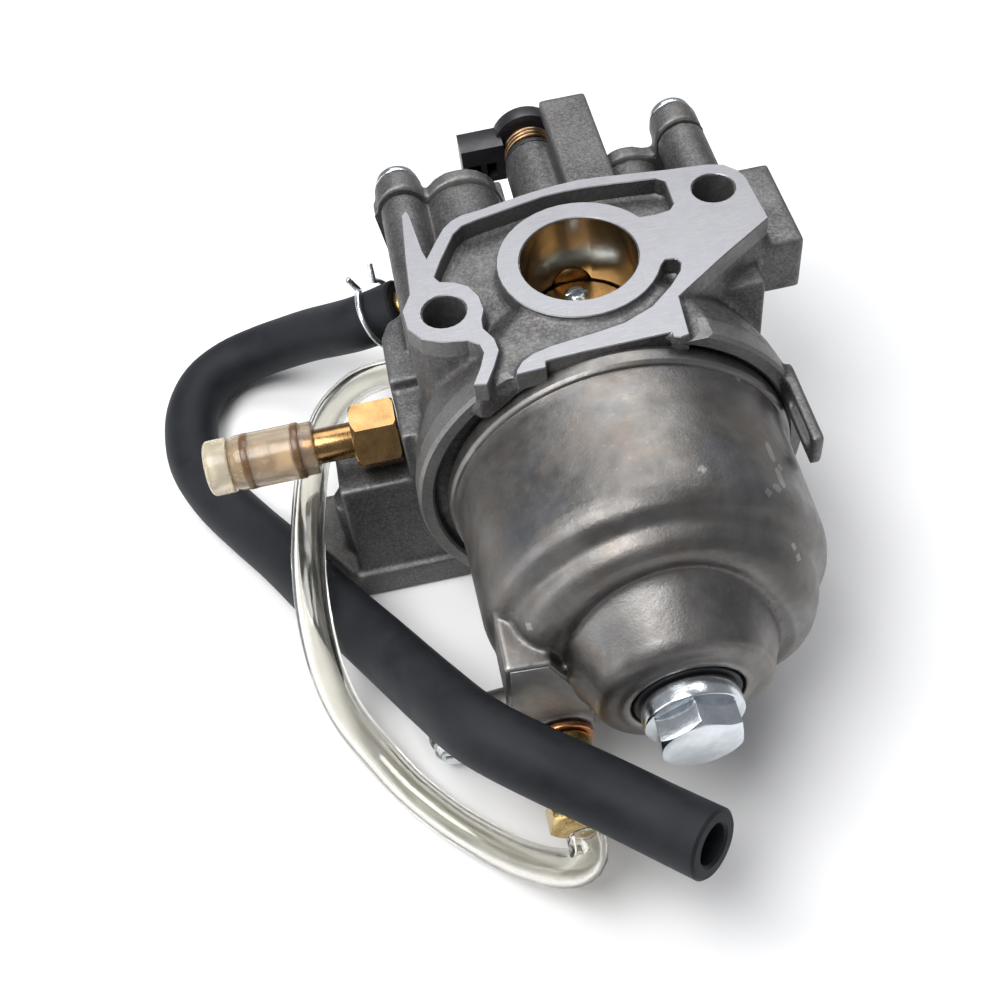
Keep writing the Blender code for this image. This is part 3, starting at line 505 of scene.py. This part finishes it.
def milled_finish():
    made = Finish("milled_face", 0.9)
    smudge = made.noise(170, 4, 0.6, warp=0.4)
    long_marks = made.noise(400, 3, 0.6, stretch=(1.0, 26.0, 1.0), turn=(0, 0, 24))
    cross_marks = made.noise(300, 2, 0.5, stretch=(22.0, 1.0, 1.0), turn=(0, 0, -38))
    base = made.ramp(smudge, (0.205, 0.206, 0.218), (0.285, 0.286, 0.302), 0.3, 0.72)
    base = made.mix(made.map(long_marks, 0.0, 0.5, 0.5, 0.72), base, (0.37, 0.37, 0.385))
    base = made.mix(made.map(cross_marks, 0.0, 0.35, 0.62, 0.75), base, (0.155, 0.155, 0.165))
    made.colour(base)
    made.rough(made.map(smudge, 0.36, 0.5))
    made.bump((long_marks, 0.006), (cross_marks, 0.004), (made.noise(3500, 2), 0.004))
    return made.material


def bowl_finish():
    made = Finish("bowl_metal", 0.95)
    patches = made.noise(75, 4, 0.62, warp=0.9)
    tint = made.noise(130, 3, 0.55, warp=0.5)
    blue = made.noise(95, 2, 0.5)
    scuffs = made.noise(900, 5, 0.7, stretch=(1.0, 1.0, 3.0), turn=(20, 10, 30))
    base = made.ramp(patches, (0.13, 0.124, 0.118), (0.23, 0.222, 0.215), 0.33, 0.7)
    base = made.mix(made.map(tint, 0.0, 0.55, 0.5, 0.75), base, (0.185, 0.145, 0.115))
    base = made.mix(made.map(blue, 0.0, 0.40, 0.55, 0.75), base, (0.145, 0.16, 0.195))
    base = made.mix(made.map(scuffs, 0.0, 0.35, 0.60, 0.80), base, (0.45, 0.44, 0.42))
    worn = made.edges(0.508, 0.54)
    base = made.mix(made.math("MULTIPLY", worn, 0.4), base, (0.55, 0.54, 0.52))
    # painted shade: concave spots (low pointiness) on the bowl are darkened, standing in for shadow in
    # its grooves and corners
    hollow = made.edges(0.492, 0.46)
    base = made.mix(made.math("MULTIPLY", hollow, 0.5), base, (0.09, 0.08, 0.075))
    made.colour(base)
    made.rough(made.map(made.noise(420, 4), 0.36, 0.50))
    made.bump((made.noise(500, 4, 0.6), 0.045), (made.noise(2800, 3, 0.6), 0.026))
    return made.material


def plated_finish(name, a, b, rough, metallic=1.0, marks=0.010, scale=500):
    made = Finish(name, metallic)
    blotch = made.noise(scale, 3, 0.55)
    fine = made.noise(scale * 8, 2, 0.5)
    made.colour(made.ramp(blotch, a, b, 0.3, 0.7))
    made.rough(made.map(fine, rough[0], rough[1]))
    made.bump((blotch, marks * 1.5), (fine, marks))
    return made.material


def hose_finish():
    made = Finish("hose_rubber", 0.0, Specular_IOR_Level=0.22)
    dust = made.noise(1900, 5, 0.75)
    bloom = made.noise(190, 3, 0.6, warp=0.5)
    base = made.ramp(bloom, (0.008, 0.0095, 0.012), (0.016, 0.018, 0.022))
    base = made.mix(made.map(dust, 0.0, 0.7, 0.69, 0.78), base, (0.20, 0.21, 0.22))
    made.colour(base)
    made.rough(made.map(bloom, 0.52, 0.66))
    made.bump((made.noise(2400, 3), 0.012), (made.noise(420, 2), 0.02))
    return made.material


def plastic_finish(name, colour, rough, lighter=1.6):
    made = Finish(name, 0.0)
    grain = made.noise(1400, 3)
    made.colour(made.ramp(grain, colour, tuple(c * lighter for c in colour), 0.3, 0.75))
    made.rough(made.map(made.noise(600, 2), rough - 0.06, rough + 0.08))
    made.bump((made.noise(2600, 3), 0.012))
    return made.material


def clear_finish(name, a, b, rough, transmission, ior=1.46):
    made = Finish(name, 0.0, Transmission_Weight=transmission, IOR=ior)
    cloud = made.noise(260, 3, 0.5)
    made.colour(made.ramp(cloud, a, b))
    made.rough(made.map(made.noise(700, 3), rough, rough + 0.10))
    made.bump((made.noise(500, 2), 0.02))
    return made.material


CAST = cast_finish("cast_metal", (0.066, 0.067, 0.070), (0.125, 0.126, 0.128), (0.12, 0.105, 0.093))
COVER = cast_finish("cover_metal", (0.085, 0.086, 0.088), (0.16, 0.16, 0.16), (0.15, 0.135, 0.12))
FACET = cast_finish(
    "facet_metal", (0.26, 0.26, 0.27), (0.38, 0.38, 0.39), (0.30, 0.27, 0.25), (0.5, 0.65),
)
MILLED = milled_finish()
BOWL_METAL = bowl_finish()
ZINC = plated_finish("zinc_plate", (0.60, 0.64, 0.68), (0.78, 0.82, 0.86), (0.14, 0.26))
BRASS = plated_finish("brass", (0.62, 0.42, 0.15), (0.78, 0.58, 0.26), (0.18, 0.32))
GOLD = plated_finish("yellow_zinc", (0.24, 0.145, 0.06), (0.40, 0.235, 0.10), (0.18, 0.30), marks=0.005)
BORE = plated_finish("bore_wall", (0.38, 0.36, 0.31), (0.48, 0.455, 0.39), (0.16, 0.24), marks=0.002)
WORN = plated_finish("worn_brass", (0.30, 0.17, 0.07), (0.46, 0.28, 0.12), (0.26, 0.38), marks=0.004)
COPPER = plated_finish("copper", (0.62, 0.26, 0.12), (0.75, 0.38, 0.20), (0.25, 0.38))
STEEL = plated_finish("steel", (0.34, 0.34, 0.35), (0.48, 0.48, 0.49), (0.25, 0.42))
SPRING = plated_finish("spring_wire", (0.22, 0.13, 0.07), (0.40, 0.26, 0.15), (0.28, 0.42))
HOSE = hose_finish()
RUBBER = plastic_finish("black_rubber", (0.010, 0.010, 0.011), 0.5)
BLACK = plastic_finish("black_plastic", (0.010, 0.010, 0.012), 0.36)
SHEET = plastic_finish("gasket_sheet", (0.035, 0.034, 0.032), 0.8)
CLEAR = clear_finish("clear_vinyl", (0.88, 0.87, 0.81), (0.93, 0.92, 0.87), 0.03, 1.0)
CAP = clear_finish("milky_vinyl", (0.74, 0.58, 0.40), (0.86, 0.74, 0.58), 0.16, 0.85)
RINGS = clear_finish("amber_ring", (0.20, 0.11, 0.05), (0.30, 0.17, 0.08), 0.2, 0.5)
PLUG = clear_finish("ivory_plug", (0.76, 0.66, 0.48), (0.86, 0.78, 0.62), 0.2, 0.6)


# ---------------------------------------------------------------- hoses
FUEL_ROUTE = [
    (-24.8, 25.9, -26.9), (-28.4, 26.8, -28.8), (-32.6, 28.1, -30.95), (-36.8, 31.4, -34.4),
    (-41.2, 35.0, -38.0),
    (-46.0, 38.0, -41.5), (-51.4, 39.6, -44.0), (-57.1, 39.3, -45.5), (-61.7, 36.1, -45.8),
    (-64.3, 30.7, -45.8), (-65.0, 24.6, -45.8), (-64.1, 17.4, -45.8), (-60.7, 9.5, -45.8),
    (-56.0, 2.1, -45.7), (-50.9, -5.6, -44.9), (-44.6, -16.8, -42.4), (-37.6, -29.4, -37.4),
    (-30.8, -42.4, -31.2), (-25.8, -51.5, -26.3), (-19.6, -57.4, -25.9), (-12.7, -62.4, -27.2),
    (-6.5, -67.6, -27.4), (-1.6, -72.6, -25.6),
]
VENT_ROUTE = [
    (-26.9, 21.9, -37.4), (-30.8, 21.5, -37.1), (-34.4, 19.4, -36.0), (-37.3, 16.2, -35.0),
    (-39.7, 12.2, -34.0), (-41.6, 7.0, -33.2), (-43.2, -0.5, -31.8), (-44.4, -9.4, -31.0),
    (-45.2, -17.6, -31.3), (-45.6, -25.0, -33.6), (-45.3, -31.3, -38.0), (-43.8, -36.6, -42.4),
    (-40.6, -41.8, -46.0), (-36.9, -47.4, -47.6), (-32.3, -53.0, -47.8), (-28.0, -57.4, -47.3),
    (-24.6, -60.8, -45.7), (-21.4, -63.7, -43.2), (-18.4, -65.9, -40.6), (-16.4, -66.4, -38.9),
    (-15.3, -65.6, -37.7), (-15.2, -63.2, -37.5),
]


def smooth_route(route, spacing):
    """Even points along a Catmull-Rom curve through the route."""
    knots = [Vector(p) for p in route]
    knots = [knots[0] * 2 - knots[1], *knots, knots[-1] * 2 - knots[-2]]
    fine = []
    for a, b, c, d in zip(knots, knots[1:], knots[2:], knots[3:]):
        for k in range(16):
            t = k / 16
            fine.append(0.5 * (2 * b + (c - a) * t + (2 * a - 5 * b + 4 * c - d) * t * t
                               + (3 * b - a - 3 * c + d) * t * t * t))
    fine.append(knots[-2])
    total = sum((q - p).length for p, q in zip(fine, fine[1:]))
    count = max(2, round(total / spacing))
    points, gone, target = [fine[0]], 0.0, total / count
    for p, q in zip(fine, fine[1:]):
        step = (q - p).length
        while gone + step >= target - 1e-9 and len(points) < count:
            points.append(p.lerp(q, (target - gone) / step))
            target += total / count
        gone += step
    points.append(fine[-1])
    return points


def add_hoses():
    fuel = smooth_route(FUEL_ROUTE, 1.2)
    hose = tube(fuel, 4.5, 56, hollow=2.6, mouth=14.0)
    settle(hose, "fuel_hose_skin", HOSE, stands_for=["fuel_hose"])
    clamp = add_hose_clamp(smooth_route(FUEL_ROUTE, 1.0))
    vent = smooth_route(VENT_ROUTE, 0.9)
    line = tube(vent, 2.5, 40, hollow=1.55, through=True)
    settle(line, "vent_tube_skin", CLEAR, stands_for=["vent_tube"])


def add_hose_clamp(centres):
    centre = centres[4]
    along = (centres[5] - centres[3]).normalized()
    up = Vector((0, 0.4, 0.92))
    up = (up - along * up.dot(along)).normalized()
    side = along.cross(up)
    points = []
    for k in range(73):
        angle = math.radians(12 + 336 * k / 72)
        drift = along * (0.9 * (k / 72 - 0.5) * 2)
        points.append(centre + (up * math.cos(angle) + side * math.sin(angle)) * 5.5 + drift)
    first = [points[0] + (up * 2.6 + side * 0.9 - along * 0.4) * t for t in (1.0, 0.6, 0.25)]
    last = [points[-1] + (up * 2.6 - side * 0.9 + along * 0.4) * t for t in (0.25, 0.6, 1.0)]
    wire = tube([*first, *points, *last], 0.5, 14)
    return settle(wire, "hose_clamp_wire", ZINC, stands_for=["hose_clamp"])


# ---------------------------------------------------------------- casting
def outline_at_top(node, height):
    """The CAD node's flat faces at one height, as a one-sided mesh in millimetres."""
    bm = bmesh.new()
    bm.from_mesh(frame["nodes"][node].data)
    bm.transform(frame["nodes"][node].matrix_world)
    for vert in bm.verts:
        vert.co = (vert.co - ORIGIN) / MM
    bmesh.ops.remove_doubles(bm, verts=bm.verts, dist=1e-3)
    away = [f for f in bm.faces if any(abs(v.co.z - height) > 0.02 for v in f.verts)]
    bmesh.ops.delete(bm, geom=away, context="FACES")
    bmesh.ops.dissolve_limit(bm, angle_limit=math.radians(1), verts=bm.verts, edges=bm.edges)
    return bm


def add_land():
    """The milled face, crisp on top of the melted casting."""
    bm = outline_at_top("main_body", 0.0)
    made = bmesh.ops.extrude_face_region(bm, geom=list(bm.faces))
    moved = [item for item in made["geom"] if isinstance(item, bmesh.types.BMVert)]
    bmesh.ops.translate(bm, verts=moved, vec=(0, 0, -3.0))
    land = link("land", bm)
    bevel(land, 0.13, 1, 40)
    settle(land, "flange_land", MILLED, angle=15)
    land.data.materials.append(CAST)
    for face in land.data.polygons:
        if face.normal.z < 0.6:
            face.material_index = 1


def add_casting_skin():
    """The whole casting melted into soft edges, kept below the milled face."""
    body = cad_copy("main_body")
    cut(
        body,
        block(-40, -15.6, -20, 60, -2.4, 5),
        block(15.9, 40, -20, 60, -2.4, 5),
        block(-15.7, 16, -5, 60, -2.4, 5),
    )
    cast(body, 0.42, 7, 0.05)
    for vert in body.data.vertices:
        vert.co.z = min(vert.co.z, -0.12)
    settle(body, "casting_skin", CAST, stands_for=["main_body"], angle=0)


def add_bore():
    bore = [
        (7.96, -0.3), (7.96, -18.4), (6.76, -23.0), (6.76, -27.5), (10.96, -35.0),
        (10.96, -50.2), (11.4, -50.2), (11.4, -34.6), (7.3, -27.5), (7.3, -22.8), (8.5, -18.2),
        (8.5, -0.3),
    ]
    liner = lathe(bore, (0, 0, 0), (0, 0, 1), 128)
    cut(liner, rod(3.0, (0, -20, SHAFT_Z), (0, 20, SHAFT_Z), 64))
    settle(liner, "bore_wall", BORE, angle=35)


def add_skirt():
    """The crisp rim of the float chamber that hangs over the bowl's bead."""
    edge = [
        (25.25, -14.8), (27.3, -14.2), (27.5, -14.6), (27.5, -17.3), (27.1, -17.85),
        (25.6, -17.85), (25.25, -17.5),
    ]
    skirt = lathe([(r, -y) for r, y in edge], (-0.3, 0, BOWL[1]), (0, -1, 0), 192)
    cut(skirt, block(-40, 40, -40, 0, -1.05, 9), block(-40, 40, -40, 0, -60, -50.4))
    settle(skirt, "chamber_skirt", CAST, angle=30)


def add_stud_bores():
    for name, (x, y) in STUDS.items():
        sleeve = [(2.92, -0.3), (2.92, -50.2), (3.7, -50.2), (3.7, -0.3)]
        settle(lathe(sleeve, (x, y, 0), (0, 0, 1), 96), "stud_bore_" + name, CAST,
               angle=35)


def add_cover():
    cover = cad_copy("top_cover")
    cast(cover, 0.35, 5)
    settle(cover, "cover_skin", COVER, stands_for=["top_cover"], angle=0)


# ---------------------------------------------------------------- bowl
def bowl_turned(profile, segments):
    """Turn a (radius, depth below the bore) profile round the bowl's axis."""
    return lathe(profile, (BOWL[0], 0, BOWL[1]), (0, -1, 0), segments)


def bowl_profiles():
    """The shell and the drum in its floor, as (radius, y) from the axis outward."""
    shell = [
        (0, -44.8), (15.4, -44.8), (16.3, -45.1), (17.2, -45.1), (18.3, -44.8), (19.1, -44.2),
        (19.6, -43.6), (19.95, -42.8), (20.15, -42.0), (20.45, -41.5), (21.0, -41.1),
        (21.7, -40.7), (22.3, -40.0), (22.7, -39.0), (22.95, -37.6), (23.3, -21.0),
        (23.5, -19.7), (23.9, -19.0), (24.0, -18.4), (24.0, -16.9), (23.7, -16.7), (0, -16.7),
    ]
    drum = [
        (0, -54.2), (8.2, -54.2), (8.7, -53.8), (9.3, -53.7), (10.3, -53.5), (11.2, -53.0),
        (11.7, -52.2), (12.1, -51.3), (14.3, -46.7), (14.6, -46.1), (15.0, -45.5), (15.4, -45.0),
        (15.4, -43.4), (0, -43.4),
    ]
    return shell, drum


def slope_floor(obj):
    """The floor falls away inward, most of all on the right, as in the CAD."""
    for vert in obj.data.vertices:
        across = vert.co.x - BOWL[0]
        radius = max(math.hypot(across, vert.co.z - BOWL[1]), 0.01)
        inward = min(max(21.5 - radius, 0.0), 6.5)
        deep = min(max((-vert.co.y - 38.0) / 2.0, 0.0), 1.0)
        share = (0.7 if across > 0 else 0.35) * (across / radius) ** 2
        vert.co.y -= share * inward * deep


def add_bowl():
    shell, drum = [
        bowl_turned([(r, -y) for r, y in reversed(profile)], 160)
        for profile in bowl_profiles()
    ]
    slope_floor(shell)
    facet = [
        (-21.0, -18.7), (-15.3, -19.3), (-10.4, -30.3), (-10.6, -39.5), (-15.2, -42.4),
        (-19.8, -40.5), (-21.6, -30.0),
    ]
    x, z = DRAIN
    side, back = SCREW
    unite(
        shell,
        drum,
        prism(facet, "y", -48.5, -38.0),
        rod(4.7, (x, -38.0, z), (x, -50.0, z), 64),
        rod(3.0, (-12.0, -41.4, -40.5), (-30.0, -39.5, -46.0), 48, 0.8),
        rod(3.9, (side, -36.0, back), (side, -42.6, back), 48),
    )
    cut(
        shell,
        rod(5.0, (x, -49.0, z), (x, -60.0, z), 64),
        rod(7.3, (BOWL[0], -53.0, BOWL[1]), (BOWL[0], -60.0, BOWL[1]), 64),
        rod(2.0, (side, -37.6, back), (side, -48.0, back), 32),
    )
    cast(shell, 0.34, 3)
    settle(shell, "bowl_skin", BOWL_METAL, stands_for=["float_bowl"], angle=0)
    bead = rounded([
        (22.8, 16.8), (23.9, 17.0), (24.2, 17.6), (24.2, 19.3), (23.9, 19.8), (22.8, 20.0),
    ], 0.15)
    settle(bowl_turned(bead, 192), "bowl_bead", BOWL_METAL, angle=30)
    face = [
        (-20.4, -19.3), (-15.6, -19.8), (-11.1, -30.4), (-11.2, -39.0), (-15.2, -41.6),
        (-19.3, -39.9), (-21.0, -30.1),
    ]
    plate = prism(face, "y", -48.62, -47.6)
    cut(plate, rod(5.0, (x, -40.0, z), (x, -60.0, z), 64))
    bevel(plate, 0.15, 2, 40)
    settle(plate, "drain_facet", FACET, angle=30)


def add_bolt():
    x, z = BOWL
    collar = rounded([(0, 54.4), (6.4, 54.4), (6.4, 57.1), (0, 57.1)], 0.3)
    settle(bowl_turned(collar, 128), "bolt_collar", ZINC)
    head = hexagon(10.0, (x, -57.0, z), (x, -60.6, z), 33.0, 0.7)
    bevel(head, 0.12, 2, 25)
    settle(head, "bolt_head", ZINC, stands_for=["bowl_bolt"], angle=25)
    washer = rounded([(3.4, 53.3), (6.9, 53.3), (6.9, 54.1), (3.4, 54.1)], 0.25)
    settle(bowl_turned(washer, 96), "bolt_washer_ring", RUBBER, stands_for=["bowl_bolt_washer"])


# ---------------------------------------------------------------- fittings
def add_drain():
    x, z = DRAIN
    stem = rounded([(0, 50.4), (3.6, 50.4), (3.6, 58.8), (0, 58.8)], 0.2)
    settle(lathe(stem, (x, 0, z), (0, -1, 0), 72), "drain_stem", BRASS)
    nut = hexagon(8.0, (x, -58.5, z), (x, -62.0, z), 20.0, 0.5)
    bevel(nut, 0.12, 2, 25)
    settle(nut, "drain_nut", BRASS, stands_for=["drain_nipple"], angle=25)
    washer = rounded([(2.6, 49.3), (4.2, 49.3), (4.2, 50.1), (2.6, 50.1)], 0.2)
    settle(lathe(washer, (x, 0, z), (0, -1, 0), 72), "drain_washer_ring", COPPER,
           stands_for=["drain_washer"])


def add_union():
    y, z = UNION
    nut = hexagon(9.0, (-28.8, y, z), (-35.4, y, z), 0.0, 1.1)
    bevel(nut, 0.3, 3, 25)
    settle(nut, "union_hex", GOLD, stands_for=["side_union"], angle=25)
    neck = rounded([(0, 35.0), (2.6, 35.0), (2.6, 44.6), (0, 44.6)], 0.3)
    settle(lathe(neck, (0, y, z), (-1, 0, 0), 72), "union_pipe", GOLD)
    cap = rounded([
        (2.8, 41.0), (3.9, 41.0), (3.9, 43.2), (4.1, 44.0), (4.1, 52.4), (3.7, 53.4), (2.8, 53.4),
    ], 0.4)
    settle(lathe(cap, (0, y, z), (-1, 0, 0), 96), "union_cap_skin", CAP,
           stands_for=["union_cap"])
    for number, start in enumerate((43.0, 50.4)):
        ring = rounded([(3.0, start), (4.1, start), (4.1, start + 1.2), (3.0, start + 1.2)], 0.3)
        settle(lathe([(r + 0.06, h) for r, h in ring], (0, y, z), (-1, 0, 0), 96),
               f"union_ring_{number}", RINGS)
    plug = rounded([(0, 47.5), (2.6, 47.5), (2.6, 53.5), (4.1, 53.5), (4.1, 56.6), (3.7, 57.0),
                    (3.0, 57.0), (2.8, 56.4), (0, 56.4)], 0.3)
    settle(lathe(plug, (0, y, z), (-1, 0, 0), 96), "union_plug_skin", PLUG,
           stands_for=["union_plug"])


def pan_head(node, x, z, head_y):
    profile = [
        (0, head_y - 2.0), (1.6, head_y - 2.0), (1.6, head_y), (3.5, head_y),
        (3.5, head_y + 0.9), (3.25, head_y + 1.45), (2.6, head_y + 1.95), (1.7, head_y + 2.25),
        (0, head_y + 2.4),
    ]
    screw = lathe(rounded(profile, 0.25), (x, 0, z), (0, 1, 0), 96)
    cut(
        screw,
        block(x - 0.42, x + 0.42, head_y + 1.0, head_y + 4, z - 1.8, z + 1.8),
        block(x - 1.8, x + 1.8, head_y + 1.05, head_y + 4, z - 0.42, z + 0.42),
    )
    bevel(screw, 0.08, 2, 35)
    settle(screw, node + "_head", ZINC, stands_for=[node], angle=35)


# ---------------------------------------------------------------- throttle top
def add_throttle():
    lever = cad_copy("throttle_lever")
    bevel(lever, 0.3, 3, 40)
    settle(lever, "throttle_lever_skin", BLACK, "throttle", ["throttle_lever"], 30)
    wire = coil((0, 0, SHAFT_Z), (0, 1, 0), 3.75, 3.6, 37.5, 40.0, 44, 2.4)
    settle(tube(wire, 0.33, 14), "throttle_spring_wire", SPRING, "throttle",
           ["throttle_return_spring"])
    idle = coil((-8.0, 41.0, 0), (0, 0, 1), 2.2, 5.0, -31.9, -25.0, 40)
    settle(tube(idle, 0.3, 12), "idle_spring_wire", ZINC, "casting", ["idle_speed_spring"])
    needle = coil((19.6, 0, -37.5), (0, 1, 0), 2.1, 3.5, 17.6, 21.4, 40)
    settle(tube(needle, 0.3, 12), "mixture_spring_wire", ZINC, "casting",
           ["mixture_screw_spring"])
    plate = rounded([(0, SHAFT_Z - 0.5), (7.6, SHAFT_Z - 0.5), (7.6, SHAFT_Z + 0.4),
                     (0, SHAFT_Z + 0.4)], 0.15)
    settle(lathe(plate, (0, 0, 0), (0, 0, 1), 128), "throttle_disc", WORN, "throttle",
           ["throttle_plate"])


BEVELLED = {
    "bowl_gasket": (RUBBER, 0), "top_cover_gasket": (SHEET, 0), "drain_screw": (ZINC, 0.12),
    "fuel_inlet_nipple": (BRASS, 0.08), "vent_nipple": (BRASS, 0.08), "choke_lever": (STEEL, 0.15),
    "choke_shaft": (STEEL, 0.1), "choke_plate": (BRASS, 0.1), "choke_plate_screw": (ZINC, 0.08),
    "throttle_shaft": (WORN, 0.08), "throttle_plate_screw_upper": (ZINC, 0.08),
    "throttle_plate_screw_lower": (ZINC, 0.08), "throttle_shaft_seal": (RUBBER, 0.1),
    "idle_speed_screw": (ZINC, 0.1), "mixture_screw": (BRASS, 0.1), "pilot_jet": (BRASS, 0.1),
}


def dress_rest():
    """The remaining CAD nodes: rounded copies outside, plain finishes inside."""
    body_of = {}
    for name, nodes in frame["record"]["behaviour"]["bodies"].items():
        for node in nodes:
            body_of[node] = name
    for node, (finish, width) in BEVELLED.items():
        copy = cad_copy(node)
        if width:
            bevel(copy, width, 2, 35)
        settle(copy, node + "_skin", finish, body_of[node], [node], 35)
    hidden = {
        "float": BLACK, "float_hinge_pin": STEEL, "float_needle": STEEL, "needle_seat": BRASS,
        "main_nozzle": BRASS, "main_jet": BRASS,
    }
    for node, finish in hidden.items():
        obj = frame["nodes"][node]
        obj.data.materials.clear()
        obj.data.materials.append(finish)


# ---------------------------------------------------------------- stage
def area_light(name, place, aim, size, power, tint=(1, 1, 1)):
    data = bpy.data.lights.new(name, "AREA")
    data.shape = "RECTANGLE"
    data.size, data.size_y = size
    data.energy = power
    data.color = tint
    lamp = bpy.data.objects.new(name, data)
    spot = world(place)
    facing = (world(aim) - spot).to_track_quat("-Z", "Y")
    lamp.matrix_world = Matrix.Translation(spot) @ facing.to_matrix().to_4x4()
    bpy.context.scene.collection.objects.link(lamp)


def add_stage():
    bm = bmesh.new()
    bmesh.ops.create_grid(bm, x_segments=1, y_segments=1, size=3.0)
    floor = link("floor", bm)
    paper = Finish("paper", 0.0)
    paper.colour(paper.ramp(paper.noise(6, 2), (0.90, 0.90, 0.90), (0.93, 0.93, 0.93)))
    paper.rough(0.9)
    floor.data.materials.append(paper.material)
    sky = bpy.data.worlds.new("studio")
    sky.use_nodes = True
    back = sky.node_tree.nodes["Background"]
    back.inputs["Color"].default_value = (0.93, 0.95, 1.0, 1)
    back.inputs["Strength"].default_value = 0.30
    bpy.context.scene.world = sky
    area_light("key", (-120, -60, 260), (0, -15, -20), (0.22, 0.16), 0.95)
    area_light("top", (40, 180, 260), (0, 0, -20), (0.30, 0.20), 0.75)
    area_light("side", (-260, -60, 60), (0, -10, -20), (0.12, 0.25), 0.22)
    bpy.context.scene.view_settings.view_transform = "Standard"


add_camera()
add_hoses()
add_casting_skin()
add_land()
add_bore()
add_skirt()
add_stud_bores()
add_cover()
add_bowl()
add_bolt()
add_drain()
add_union()
pan_head("cover_screw_left", -21.6, -11.6, 35.9)
pan_head("cover_screw_right", 22.4, -9.2, 35.9)
pan_head("cover_screw_rear", -12.0, -30.0, 34.1)
add_throttle()
dress_rest()
add_stage()
